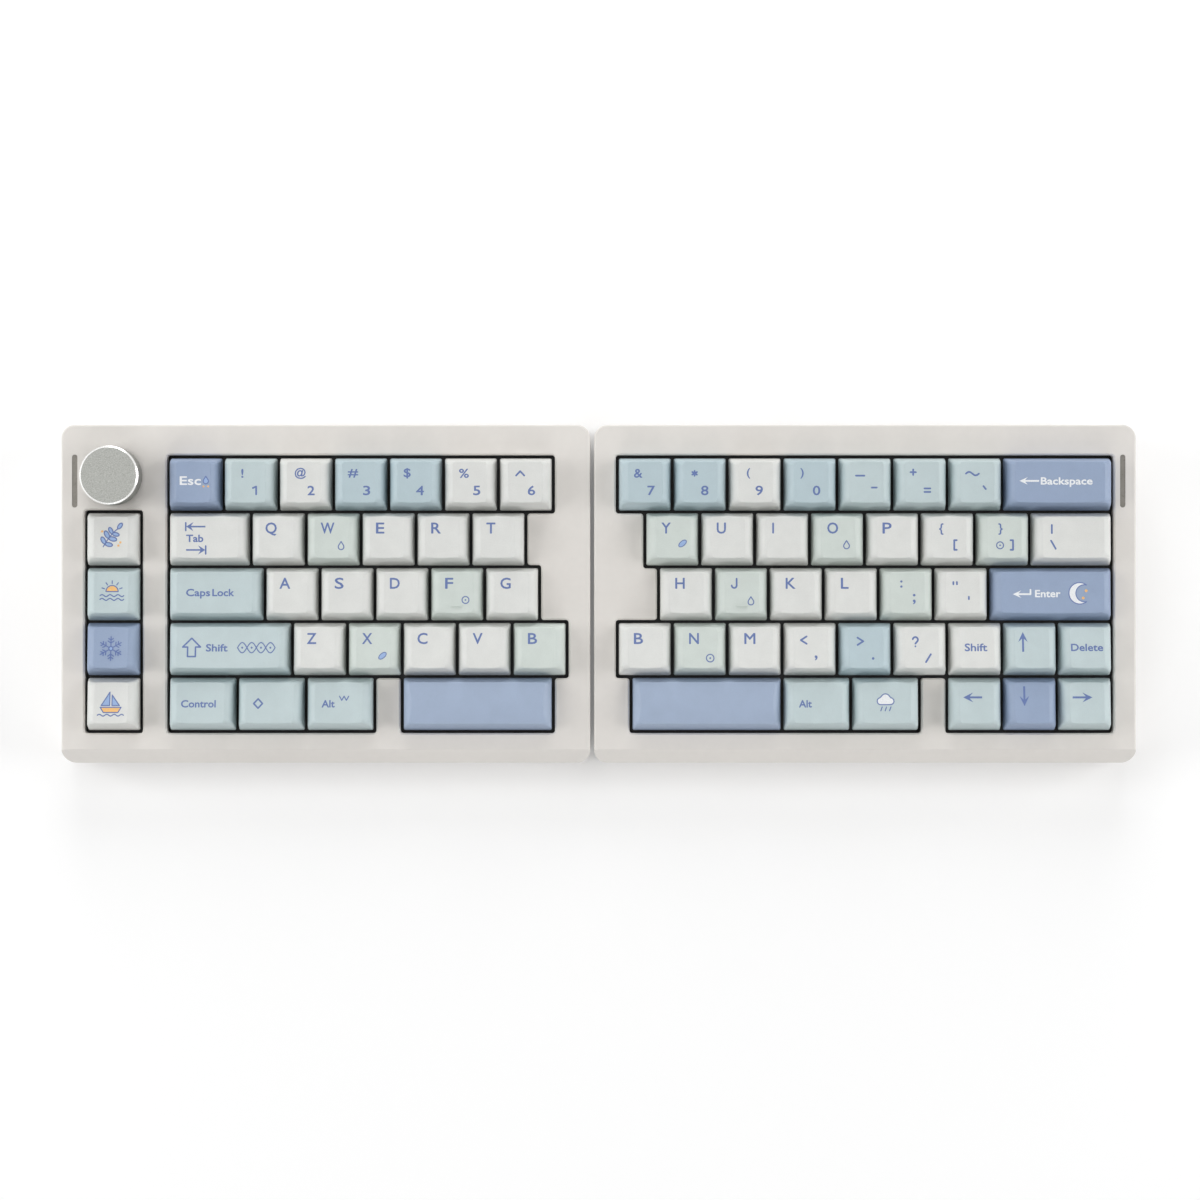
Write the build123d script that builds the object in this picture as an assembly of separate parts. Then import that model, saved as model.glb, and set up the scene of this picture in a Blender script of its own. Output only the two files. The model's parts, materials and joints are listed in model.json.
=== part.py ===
from build123d import *
from dataclasses import dataclass
from math import asin, cos, degrees, radians, sin
import os

# A split mechanical keyboard: two white cases that stand side by side, each with its own
# switches, board and battery, and a volume knob on the left one. Lengths are in millimetres.
# Most pieces are drawn flat in the deck's own frame and then tilted as one. There u runs to
# the right, v to the rear along the deck, w square to it, and w = 0 is the switch plate's top.

# Overall form
KEY_PITCH = 19.05
TYPING_ANGLE = 6.5
FRONT_HEIGHT = 20.0
REAR_MARGIN = 11.1
FRONT_MARGIN = 11.0
LEFT_OUTER_MARGIN = 8.6
RIGHT_OUTER_MARGIN = 8.35
SEAM_MARGIN = 8.1
SEAM_GAP = 1.3
OVERRUN = 40.0

# Rows of keys, rear to front: row, where it starts, then node, key width and count, all
# widths as shares of the key pitch. A run without a node is a strip of bezel.
LEFT_ROW_SHARES = (
    (1, 0.0, (("escape_key", 1.0, 1), ("left_number_keys", 1.0, 6))),
    (2, 0.0, (("tab_key", 1.5, 1), ("left_upper_keys", 1.0, 5))),
    (3, 0.0, (("caps_lock_key", 1.75, 1), ("left_home_keys", 1.0, 5))),
    (4, 0.0, (("left_shift_key", 2.25, 1), ("left_lower_keys", 1.0, 5))),
    (5, 0.0, (("left_modifier_keys", 1.25, 3), (None, 0.5, 1), ("left_space_bar", 2.75, 1))),
    (2, -1.5, (("macro_keys", 1.0, 1),)),
    (3, -1.5, (("macro_keys", 1.0, 1),)),
    (4, -1.5, (("macro_keys", 1.0, 1),)),
    (5, -1.5, (("macro_keys", 1.0, 1),)),
)
RIGHT_ROW_SHARES = (
    (1, 0.0, (("right_number_keys", 1.0, 7), ("backspace_key", 2.0, 1))),
    (2, 0.5, (("right_upper_keys", 1.0, 7), ("backslash_key", 1.5, 1))),
    (3, 0.75, (("right_home_keys", 1.0, 6), ("enter_key", 2.25, 1))),
    (4, 0.0, (("right_lower_keys", 1.0, 7), ("arrow_keys", 1.0, 1), ("right_lower_keys", 1.0, 1))),
    (
        5,
        0.25,
        (
            ("right_space_bar", 2.75, 1),
            ("right_modifier_keys", 1.25, 2),
            (None, 0.5, 1),
            ("arrow_keys", 1.0, 3),
        ),
    ),
)
MACRO_START_SHARE = 1.5
LEFT_SPAN_SHARE = 7.25
RIGHT_SPAN_SHARE = 9.0
ROW_COUNT = 5
STABILIZED_FROM_SHARE = 2.0

# Case
CORNER_RADIUS = 4.6
CASE_WALL = 2.6
BEZEL_THICKNESS = 4.5
BEVEL_WIDTH = 4.8
BEVEL_DROP = 4.5
EDGE_ROUNDING = 0.7
WINDOW_GAP = 0.6
WINDOW_RADIUS = 1.0
WINDOW_CHAMFER = 0.55
PARTING_DROP = 4.0
PARTING_CHAMFER = 0.4
SHELL_FLOOR = 2.2
SOLE_CHAMFER = 1.2
BOSS_RADIUS = 3.5
BOSS_INSET = 6.0
BOSS_END_DISTANCE = 12.0
NOTCH_CLEARANCE = 0.3

# Rubber pads under the case
PAD_LENGTH = 34.0
PAD_WIDTH = 7.0
PAD_PROUD = 1.0
PAD_RECESS = 0.5
PAD_CLEARANCE = 0.2
PAD_END_DISTANCE = 28.0
PAD_EDGE_DISTANCE = 7.5

# Plate, gaskets and board
PLATE_THICKNESS = 1.5
PLATE_CLEARANCE = 0.5
GASKET_THICKNESS = 3.5
GASKET_WIDTH = 3.0
GASKET_LENGTH = 24.0
GASKET_INSET = 0.8
GASKET_SIDE_SHIFT = -12.0
SEAT_OVERHANG = 0.3
BOARD_DROP = 5.0
BOARD_THICKNESS = 1.6
BOARD_INSET = 7.2
SOCKET_WIDTH = 10.6
SOCKET_DEPTH = 4.4
SOCKET_THICKNESS = 1.8
SOCKET_SHIFT = 4.7

# Key switch
SWITCH_HOLE = 14.0
SWITCH_FIT = 0.05
FLANGE_WIDTH = 15.6
FLANGE_THICKNESS = 1.0
UPPER_BASE = 13.9
UPPER_TOP = 10.0
HOUSING_TOP = 6.4
HOUSING_ROOF = 1.5
CAVITY_WIDTH = 9.6
CAVITY_DEPTH = 6.2
CAVITY_FLOOR = 1.0
APERTURE_WIDTH = 7.5
APERTURE_DEPTH = 6.1
PIVOT_POST_RADIUS = 1.95
PIVOT_POST_LENGTH = 3.0
POST_HOLE_CLEARANCE = 0.1
KEY_TRAVEL = 4.0
END_CLEARANCE = 0.3
SLIDER_WIDTH = 9.0
SLIDER_DEPTH = 5.6
NECK_WIDTH = 6.9
NECK_DEPTH = 5.5
CROSS_SPAN = 4.0
CROSS_ALONG = 1.25
CROSS_ACROSS = 1.1
CROSS_HEIGHT = 3.6
SPRING_RADIUS = 2.1
SPRING_WIRE = 0.4
SPRING_CLEARANCE = 0.2
POCKET_ROOF = 1.4

# Keycap: height at the middle of its top and how far its top leans back, row by row
CAP_GAP = 0.95
CAP_REST = 6.1
CAP_HEIGHTS = {1: 9.8, 2: 8.2, 3: 7.5, 4: 8.3, 5: 8.3}
CAP_TILTS = {1: 0.0, 2: 2.5, 3: 5.0, 4: 10.5, 5: 10.5}
BAR_HEIGHT = 7.7
BAR_TILT = 4.0
BAR_CROWN = 0.55
CAP_SIDE_INSET = 3.2
CAP_FRONT_INSET = 2.7
CAP_REAR_INSET = 1.4
CAP_BASE_RADIUS = 0.7
CAP_TOP_RADIUS = 1.7
CAP_WAIST_RADIUS = 1.0
CAP_WAIST_RISE_SHARE = 0.5
CAP_WAIST_SIDE_SHARE = 0.12
CAP_WAIST_END_SHARE = 0.48
CAP_SHOULDER_RADIUS = 1.4
CAP_SHOULDER_RISE_SHARE = 0.88
CAP_SHOULDER_SIDE_SHARE = 0.5
CAP_SHOULDER_END_SHARE = 0.86
CAP_WALL = 1.3
CAP_ROOF = 1.5
CAP_DISH = 0.65
CAP_EDGE_ROUNDING = 0.35
CAP_SOCKET_RADIUS = 2.75
CAP_SOCKET_LIFT = 0.5
CROSS_CLEARANCE = 0.04
HOMING_BAR_LENGTH = 3.6
HOMING_BAR_WIDTH = 0.55
HOMING_BAR_HEIGHT = 0.5
HOMING_BAR_ROUNDING = 0.18
HOMING_BAR_DISTANCE = 4.6

# Stabilizers of the long keys
STABILIZER_DISTANCE = 11.9
WIRE_RADIUS = 0.7
WIRE_DROP = 3.2
WIRE_AHEAD = 8.3
WIRE_ARM = 8.5
WIRE_FIT = 0.05
GUIDE_CLEARANCE = 0.3
GUIDE_WALL = 0.8
GUIDE_TOP = 2.2
GUIDE_FRONT = 6.2
SLIDE_BLOCK_WIDTH = 3.6
SLIDE_BLOCK_DEPTH = 5.6
SLIDE_BLOCK_SOLE = 1.7
PIN_SLOT_PLAY = 0.5
PIN_OVERHANG = 2.8
EAR_LENGTH = 2.1

# Volume knob and its encoder
KNOB_RADIUS = 10.1
KNOB_HEIGHT = 10.6
KNOB_REAR_SHIFT = 2.75
KNOB_CHAMFER = 0.55
KNOB_SKIRT_CHAMFER = 0.3
KNOB_HOLLOW_RADIUS = 7.6
KNOB_HOLLOW_DEPTH = 2.4
KNOB_ROOF = 2.0
KNOB_TRAVEL = 0.5
KNOB_PRESSED_GAP = 0.4
KNOB_HUB_WALL = 1.5
SHAFT_RADIUS = 3.0
SHAFT_FLAT = 1.5
SHAFT_FIT = 0.05
ENCODER_WIDTH = 12.0
ENCODER_HEIGHT = 6.5
ENCODER_ROUNDING = 0.3
ENCODER_CLEARANCE = 0.3
BUSHING_RADIUS = 3.5
BUSHING_HEIGHT = 5.0
BUSHING_CLEARANCE = 0.3
PLUNGER_RADIUS = 3.7
PLUNGER_THICKNESS = 1.2
PLUNGER_DROP = 1.2
CHAMBER_RADIUS = 4.1
CHAMBER_FLOOR = 0.6
CHAMBER_ROOF_CLEARANCE = 0.2

# Light bars
LIGHT_WIDTH = 1.76
LIGHT_LENGTH = 18.3
LIGHT_EDGE_DISTANCE = 4.65
LIGHT_REAR_DISTANCE = 19.5
LIGHT_SUNK = 0.15
LIGHT_FLANGE_BORDER = 0.7
LIGHT_FLANGE_THICKNESS = 1.2
LIGHT_CLEARANCE = 0.05

# Case screws
SCREW_RADIUS = 1.25
SCREW_CLEARANCE = 0.2
SCREW_THREAD_FIT = 0.03
SCREW_HEAD_RADIUS = 2.25
SCREW_HEAD_HEIGHT = 2.0
SCREW_SEAT_DROP = 8.0
SCREW_LENGTH = 9.5
SCREW_DRIVE_WIDTH = 1.6
SCREW_DRIVE_DEPTH = 1.0
SCREW_TIP_CLEARANCE = 0.4
COUNTERBORE_RADIUS = 2.6

# Fold-out feet
FOOT_WIDTH = 26.0
FOOT_LENGTH = 17.0
FOOT_THICKNESS = 3.6
FOOT_SUNK = 0.2
FOOT_CLEARANCE = 0.4
FOOT_SWING_CLEARANCE = 0.7
FOOT_NAIL_SPACE = 3.6
FOOT_PIN_RADIUS = 1.2
FOOT_PIN_LENGTH = 1.4
FOOT_PIN_FIT = 0.06
FOOT_END_DISTANCE = 32.0
FOOT_HINGE_INSET = 17.0
FOOT_TIP_ROUNDING = 1.2
WELL_WALL = 2.2

# Battery and charging board
BATTERY_LENGTH = 64.0
BATTERY_DEPTH = 34.0
BATTERY_THICKNESS = 5.0
BATTERY_ROUNDING = 1.2
BATTERY_REAR_SHIFT = 19.0
USB_BOARD_WIDTH = 20.0
USB_BOARD_DEPTH = 15.0
USB_BOARD_THICKNESS = 1.2
USB_BOARD_GAP = 0.3
USB_PORT_WIDTH = 8.94
USB_PORT_HEIGHT = 3.2
USB_PORT_LENGTH = 7.4
USB_PORT_WALL = 0.3
USB_PORT_DEPTH = 6.2
USB_TONGUE_WIDTH = 6.7
USB_TONGUE_THICKNESS = 0.7
USB_TONGUE_LENGTH = 4.6
USB_PORT_DROP = 14.0
USB_PORT_SUNK = 0.4
USB_PORT_CLEARANCE = 0.25
USB_SEAM_DISTANCE = 70.0
USB_POST_RADIUS = 2.0
USB_POST_SPACING = 13.0

# Heights in the deck's frame
CEILING = GASKET_THICKNESS
BEZEL_TOP = CEILING + BEZEL_THICKNESS
PLATE_BOTTOM = -PLATE_THICKNESS
SEAT_TOP = PLATE_BOTTOM - GASKET_THICKNESS
PARTING = -PARTING_DROP
BOARD_TOP = -BOARD_DROP
BOARD_BOTTOM = BOARD_TOP - BOARD_THICKNESS
ROOF_INSIDE = HOUSING_TOP - HOUSING_ROOF
CAVITY_BOTTOM = BOARD_TOP + CAVITY_FLOOR
SLIDER_BOTTOM = CAVITY_BOTTOM + KEY_TRAVEL + END_CLEARANCE
SLIDER_SHOULDER = ROOF_INSIDE - END_CLEARANCE
POCKET_TOP = HOUSING_TOP - POCKET_ROOF
STEM_TOP = HOUSING_TOP + CROSS_HEIGHT
WIRE_HEIGHT = -WIRE_DROP
WIRE_SWING = degrees(asin(KEY_TRAVEL / 2 / WIRE_ARM))
PIN_HEIGHT = WIRE_HEIGHT + KEY_TRAVEL / 2
KNOB_BOTTOM = BEZEL_TOP + KNOB_PRESSED_GAP + KNOB_TRAVEL
KNOB_TOP = KNOB_BOTTOM + KNOB_HEIGHT
PLUNGER_TOP = -PLUNGER_DROP

# Plan of the deck
DEPTH = REAR_MARGIN + ROW_COUNT * KEY_PITCH + FRONT_MARGIN
LEFT_WIDTH = LEFT_OUTER_MARGIN + (MACRO_START_SHARE + LEFT_SPAN_SHARE) * KEY_PITCH + SEAM_MARGIN
RIGHT_WIDTH = SEAM_MARGIN + RIGHT_SPAN_SHARE * KEY_PITCH + RIGHT_OUTER_MARGIN
TOTAL_WIDTH = LEFT_WIDTH + SEAM_GAP + RIGHT_WIDTH
REAR_EDGE = DEPTH / 2

# The deck's place in the part's frame: the pads stand on z = 0, and the case is centred on y
LEAN = radians(TYPING_ANGLE)
DECK_Z = FRONT_HEIGHT + REAR_EDGE * sin(LEAN) - BEZEL_TOP * cos(LEAN)
REAR_SOLE = (PAD_PROUD - DECK_Z - REAR_EDGE * sin(LEAN)) / cos(LEAN)
FRONT_LIP = BEZEL_TOP - BEVEL_DROP
DECK_Y = (REAR_SOLE + FRONT_LIP) * sin(LEAN) / 2
DECK = Location((0, DECK_Y, DECK_Z), (TYPING_ANGLE, 0, 0))
SHELL_FLOOR_TOP = PAD_PROUD + SHELL_FLOOR


@dataclass
class Key:
    """One key's node, row, width as a share of the pitch, and centre on the deck."""

    node: str
    row: int
    share: float
    u: float
    v: float


@dataclass
class Half:
    """One half of the keyboard: its side walls, where its rows start, and which wall is outer."""

    side: str
    left: float
    right: float
    start: float
    rows: tuple
    outward: int

    def outer(self, distance):
        """A place so far in from the outer wall."""
        edge = self.left if self.outward < 0 else self.right
        return edge - self.outward * distance

    def inner(self, distance):
        """A place so far in from the wall at the seam."""
        edge = self.right if self.outward < 0 else self.left
        return edge + self.outward * distance


LEFT = Half(
    "left",
    -TOTAL_WIDTH / 2,
    -TOTAL_WIDTH / 2 + LEFT_WIDTH,
    -TOTAL_WIDTH / 2 + LEFT_OUTER_MARGIN + MACRO_START_SHARE * KEY_PITCH,
    LEFT_ROW_SHARES,
    -1,
)
RIGHT = Half(
    "right",
    TOTAL_WIDTH / 2 - RIGHT_WIDTH,
    TOTAL_WIDTH / 2,
    TOTAL_WIDTH / 2 - RIGHT_WIDTH + SEAM_MARGIN,
    RIGHT_ROW_SHARES,
    1,
)
KNOB_U = LEFT.left + LEFT_OUTER_MARGIN + KEY_PITCH / 2


def row_centre(row):
    """How far to the rear a row's centre line lies."""
    return REAR_EDGE - REAR_MARGIN - (row - 1 / 2) * KEY_PITCH


KNOB_V = row_centre(1) + KNOB_REAR_SHIFT


def keys_of(half):
    """Every key of a half, with its place on the deck."""
    keys = []
    for row, start, runs in half.rows:
        u = half.start + start * KEY_PITCH
        for node, share, count in runs:
            for _ in range(count):
                if node:
                    keys.append(Key(node, row, share, u + share * KEY_PITCH / 2, row_centre(row)))
                u += share * KEY_PITCH
    return keys


def spans_of(half):
    """Each unbroken run of keys: its left end, right end and centre line."""
    spans = []
    for row, start, runs in half.rows:
        u = half.start + start * KEY_PITCH
        begin = u
        for node, share, count in runs:
            if node is None:
                spans.append((begin, u, row_centre(row)))
                begin = u + share * count * KEY_PITCH
            u += share * count * KEY_PITCH
        spans.append((begin, u, row_centre(row)))
    return spans


def stabilizer_places(half):
    """Where each stabilizer guide stands, and which side of its key it is on."""
    places = []
    for key in keys_of(half):
        if key.share >= STABILIZED_FROM_SHARE:
            for side in (-1, 1):
                places.append((key.u + side * STABILIZER_DISTANCE, key.v, side))
    return places


def boss_places(half):
    """Where the case screws stand: three along the rear and three along the front."""
    middle = (half.left + half.right) / 2
    columns = (half.left + BOSS_END_DISTANCE, middle, half.right - BOSS_END_DISTANCE)
    reach = REAR_EDGE - BOSS_INSET
    return [(u, v) for u in columns for v in (-reach, reach)]


def gasket_places(half):
    """Centre and turn of each gasket strip: two a long wall and one a side wall."""
    inset = CASE_WALL + GASKET_INSET + GASKET_WIDTH / 2
    width = half.right - half.left
    places = []
    for share in (1 / 4, 3 / 4):
        for v in (REAR_EDGE - inset, inset - REAR_EDGE):
            places.append((half.left + share * width, v, 0))
    for u in (half.left + inset, half.right - inset):
        places.append((u, GASKET_SIDE_SHIFT, 90))
    return places


def block(width, depth, bottom, top, u=0, v=0):
    """A box by its plan size, its lower and upper heights and its centre."""
    return Pos(u, v, (bottom + top) / 2) * Box(width, depth, top - bottom)


def post(radius, bottom, top, u=0, v=0):
    """A round post by its radius, heights and centre."""
    return Pos(u, v, (bottom + top) / 2) * Cylinder(radius, top - bottom)


def prism(sketch, bottom, top):
    """A flat outline raised between two heights."""
    return extrude(Pos(0, 0, bottom) * sketch, top - bottom)


def outline(half, inset):
    """The case's outline, drawn in by the given distance."""
    width = half.right - half.left - 2 * inset
    radius = max(CORNER_RADIUS - inset, WINDOW_RADIUS)
    centre = Pos((half.left + half.right) / 2, 0)
    return centre * RectangleRounded(width, DEPTH - 2 * inset, radius)


def copies(shape, places):
    """The same solid at each place, as separate solids."""
    return [Pos(u, v, 0) * shape for u, v in places]


def below_floor(height):
    """All that lies under a level of the part's frame, in the deck's frame."""
    size = TOTAL_WIDTH + OVERRUN
    return DECK.inverse() * (Pos(0, 0, height - size / 2) * Box(size, size, size))


def save(name, *shapes, frame=DECK):
    """Write one node, whose solids stay separate."""
    solids = [solid for shape in shapes for solid in shape.solids()]
    export_step(frame * Compound(solids), f"parts/{name}.step")


def window_sketch(half):
    """The openings for the keys: each run of keys with a gap round it, corners rounded."""
    cells = Sketch()
    height = KEY_PITCH + 2 * WINDOW_GAP
    for begin, end, v in spans_of(half):
        cells += Pos((begin + end) / 2, v) * Rectangle(end - begin + 2 * WINDOW_GAP, height)
    return fillet(cells.vertices(), WINDOW_RADIUS)


def stadium(length, width, u, v):
    """A slot outline that runs along v."""
    return Pos(u, v) * Rot(0, 0, 90) * SlotOverall(length, width)


def light_place(half):
    """Centre of a half's light bar."""
    return half.outer(LIGHT_EDGE_DISTANCE), REAR_EDGE - LIGHT_REAR_DISTANCE


def top_case(half):
    """Upper shell: the bezel with its key windows, its walls and the screw bosses."""
    shell = prism(outline(half, 0), PARTING, BEZEL_TOP)
    shell = fillet(shell.faces().sort_by(Axis.Z)[-1].edges(), EDGE_ROUNDING)
    lip = Plane.YZ * Polyline(
        (-REAR_EDGE - OVERRUN, BEZEL_TOP + OVERRUN * BEVEL_DROP / BEVEL_WIDTH),
        (-REAR_EDGE + BEVEL_WIDTH, BEZEL_TOP),
        (-REAR_EDGE, BEZEL_TOP - BEVEL_DROP),
        (-REAR_EDGE - OVERRUN, BEZEL_TOP - BEVEL_DROP),
        close=True,
    )
    shell -= extrude(make_face(lip), TOTAL_WIDTH, both=True)
    shell -= prism(window_sketch(half), PARTING, BEZEL_TOP + OVERRUN)
    windows = shell.faces().sort_by(Axis.Z)[-1].inner_wires()
    shell = chamfer([edge for wire in windows for edge in wire.edges()], WINDOW_CHAMFER)
    foot = shell.faces().sort_by(Axis.Z)[0].outer_wire().edges()
    shell = chamfer(foot, PARTING_CHAMFER)
    shell -= prism(outline(half, CASE_WALL), PARTING - OVERRUN, CEILING)
    shell += Part() + copies(post(BOSS_RADIUS, PARTING, CEILING), boss_places(half))
    tip = SCREW_LENGTH - SCREW_SEAT_DROP + SCREW_TIP_CLEARANCE
    hole = post(SCREW_RADIUS + SCREW_THREAD_FIT, PARTING, tip)
    shell -= copies(hole, boss_places(half))
    u, v = light_place(half)
    slot = stadium(LIGHT_LENGTH + 2 * LIGHT_CLEARANCE, LIGHT_WIDTH + 2 * LIGHT_CLEARANCE, u, v)
    shell -= prism(slot, CEILING, BEZEL_TOP)
    if half is LEFT:
        shell -= post(BUSHING_RADIUS + BUSHING_CLEARANCE, CEILING, BEZEL_TOP, KNOB_U, KNOB_V)
    return shell


def foot_places(half):
    """Centre of each fold-out foot's hinge, left to right and to the rear."""
    y = REAR_EDGE - FOOT_HINGE_INSET
    return [(half.left + FOOT_END_DISTANCE, y), (half.right - FOOT_END_DISTANCE, y)]


FOOT_AXIS_Z = PAD_PROUD + FOOT_SUNK + FOOT_THICKNESS / 2


def foot_well(border):
    """Recess that a folded foot lies in, about its hinge, with a border all round."""
    rear = FOOT_THICKNESS / 2 + FOOT_SWING_CLEARANCE + border
    front = FOOT_LENGTH - FOOT_THICKNESS / 2 + FOOT_NAIL_SPACE + border
    top = FOOT_AXIS_Z + FOOT_THICKNESS / 2 + FOOT_CLEARANCE + border
    width = FOOT_WIDTH + 2 * (FOOT_CLEARANCE + border)
    return block(width, rear + front, 0, top, 0, (rear - front) / 2)


def fold_foot():
    """A flat foot with a round hinge end and a stub pin on each side, lying folded."""
    body = block(FOOT_WIDTH, FOOT_LENGTH - FOOT_THICKNESS / 2, -FOOT_THICKNESS / 2, FOOT_THICKNESS / 2)
    body = Pos(0, -(FOOT_LENGTH - FOOT_THICKNESS / 2) / 2, 0) * body
    tip = body.faces().sort_by(Axis.Y)[0].edges().filter_by(Axis.X)
    body = fillet(tip, FOOT_TIP_ROUNDING)
    body += Rot(0, 90, 0) * Cylinder(FOOT_THICKNESS / 2, FOOT_WIDTH)
    pin_length = FOOT_WIDTH + 2 * (FOOT_CLEARANCE + FOOT_PIN_LENGTH)
    return body + Rot(0, 90, 0) * Cylinder(FOOT_PIN_RADIUS, pin_length)


def pad_places(half):
    """Centre of each rubber pad under the case."""
    front = DECK_Y - REAR_EDGE + PAD_EDGE_DISTANCE
    rear = DECK_Y + REAR_EDGE - PAD_EDGE_DISTANCE
    columns = (half.left + PAD_END_DISTANCE, half.right - PAD_END_DISTANCE)
    return [(u, y) for u in columns for y in (front, rear)]


def usb_place(half):
    """Centre of the charging port along the rear wall."""
    return half.inner(USB_SEAM_DISTANCE)


def usb_posts(half):
    """Plan places of the posts under the charging board."""
    u = usb_place(half)
    v = REAR_EDGE - CASE_WALL - USB_BOARD_GAP - USB_BOARD_DEPTH / 2
    return [(u - USB_POST_SPACING / 2, v), (u + USB_POST_SPACING / 2, v)]


USB_BOARD_TOP = -USB_PORT_DROP - USB_PORT_HEIGHT / 2
USB_BOARD_BOTTOM = USB_BOARD_TOP - USB_BOARD_THICKNESS


def port_outline(width, height):
    """The rounded end view of a charging port, facing the rear."""
    return Plane.XZ * SlotOverall(width, height)


def bottom_case(half):
    """Lower shell: walls and floor, screw columns, gasket seats and the wells of the feet."""
    deep = REAR_SOLE - OVERRUN
    shell = prism(outline(half, 0), deep, PARTING)
    shell = chamfer(shell.faces().sort_by(Axis.Z)[-1].edges(), PARTING_CHAMFER)
    shell -= below_floor(PAD_PROUD)
    shell = DECK * shell
    shell = chamfer(shell.faces().sort_by(Axis.Z)[0].edges(), SOLE_CHAMFER)
    shell = DECK.inverse() * shell
    hollow = prism(outline(half, CASE_WALL), deep, PARTING + OVERRUN) - below_floor(SHELL_FLOOR_TOP)
    fixtures = Part() + copies(post(BOSS_RADIUS, deep, PARTING), boss_places(half))
    seat = block(GASKET_LENGTH, GASKET_WIDTH + GASKET_INSET + SEAT_OVERHANG, deep, SEAT_TOP)
    for u, v, turn in gasket_places(half):
        fixtures += Pos(u, v, 0) * Rot(0, 0, turn) * seat
    fixtures += copies(post(USB_POST_RADIUS, deep, USB_BOARD_BOTTOM), usb_posts(half))
    wells = [Pos(u, y, 0) * foot_well(WELL_WALL) for u, y in foot_places(half)]
    fixtures += DECK.inverse() * Compound([solid for well in wells for solid in well.solids()])
    shell -= hollow - fixtures
    passage = post(SCREW_RADIUS + SCREW_CLEARANCE, -SCREW_SEAT_DROP, PARTING)
    passage += post(COUNTERBORE_RADIUS, deep, -SCREW_SEAT_DROP)
    shell -= copies(passage, boss_places(half))
    mouth_width = USB_PORT_WIDTH + 2 * USB_PORT_CLEARANCE
    mouth = port_outline(mouth_width, USB_PORT_HEIGHT + 2 * USB_PORT_CLEARANCE)
    mouth = extrude(mouth, -USB_PORT_LENGTH)
    shell -= Pos(usb_place(half), REAR_EDGE - USB_PORT_LENGTH / 2, -USB_PORT_DROP) * mouth
    tools = [Pos(u, y, 0) * foot_well(0) for u, y in foot_places(half)]
    reach = FOOT_WIDTH + 2 * (FOOT_CLEARANCE + FOOT_PIN_LENGTH + FOOT_PIN_FIT)
    pin_hole = Rot(0, 90, 0) * Cylinder(FOOT_PIN_RADIUS + FOOT_PIN_FIT, reach)
    tools += [Pos(u, y, FOOT_AXIS_Z) * pin_hole for u, y in foot_places(half)]
    pad = SlotOverall(PAD_LENGTH + 2 * PAD_CLEARANCE, PAD_WIDTH + 2 * PAD_CLEARANCE)
    tools += copies(prism(pad, 0, PAD_PROUD + PAD_RECESS), pad_places(half))
    for tool in tools:
        shell -= DECK.inverse() * tool
    return shell


def foot_pads(half):
    """Rubber pads, glued into shallow recesses of the case's underside."""
    pad = prism(SlotOverall(PAD_LENGTH, PAD_WIDTH), 0, PAD_PROUD + PAD_RECESS)
    return copies(pad, pad_places(half))


def case_screws(half):
    """Screws driven from below, each with a round head and a six-sided drive."""
    top = SCREW_LENGTH - SCREW_SEAT_DROP
    bottom = -SCREW_SEAT_DROP - SCREW_HEAD_HEIGHT
    screw = post(SCREW_RADIUS, -SCREW_SEAT_DROP, top)
    screw += post(SCREW_HEAD_RADIUS, bottom, -SCREW_SEAT_DROP)
    screw -= prism(RegularPolygon(SCREW_DRIVE_WIDTH / 2, 6), bottom, bottom + SCREW_DRIVE_DEPTH)
    return copies(screw, boss_places(half))


def gaskets(half):
    """Soft strips above and below the plate's edge, which hold it between the shells."""
    strips = []
    for u, v, turn in gasket_places(half):
        place = Pos(u, v, 0) * Rot(0, 0, turn)
        strips.append(place * block(GASKET_LENGTH, GASKET_WIDTH, 0, CEILING))
        strips.append(place * block(GASKET_LENGTH, GASKET_WIDTH, SEAT_TOP, PLATE_BOTTOM))
    return strips


def guide_bounds():
    """Inner sides of a stabilizer guide on the right of its key: inward, outward, front, rear."""
    inward = -(SLIDE_BLOCK_WIDTH / 2 + GUIDE_CLEARANCE)
    outward = SLIDE_BLOCK_WIDTH / 2 + 2 * (GUIDE_CLEARANCE + WIRE_RADIUS) + GUIDE_CLEARANCE
    rear = SLIDE_BLOCK_DEPTH / 2 + GUIDE_CLEARANCE
    return inward, outward, -GUIDE_FRONT, rear


def guide_rectangle(border, u, v, side):
    """Plan of a stabilizer guide's inside, grown by a border."""
    inward, outward, front, rear = guide_bounds()
    width = outward - inward + 2 * border
    centre = Pos(u + side * (inward + outward) / 2, v + (front + rear) / 2)
    return centre * Rectangle(width, rear - front + 2 * border)


def switch_plate(half):
    """Plate that the switches snap into, notched round the screw bosses."""
    sheet = outline(half, CASE_WALL + PLATE_CLEARANCE)
    holes = [Pos(key.u, key.v) * Rectangle(SWITCH_HOLE, SWITCH_HOLE) for key in keys_of(half)]
    for u, v, side in stabilizer_places(half):
        holes.append(guide_rectangle(GUIDE_WALL + POST_HOLE_CLEARANCE, u, v, side))
    holes += [Pos(u, v) * Circle(BOSS_RADIUS + NOTCH_CLEARANCE) for u, v in boss_places(half)]
    if half is LEFT:
        opening = ENCODER_WIDTH + 2 * ENCODER_CLEARANCE
        holes.append(Pos(KNOB_U, KNOB_V) * Rectangle(opening, opening))
    return prism(sheet - holes, PLATE_BOTTOM, 0)


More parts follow.
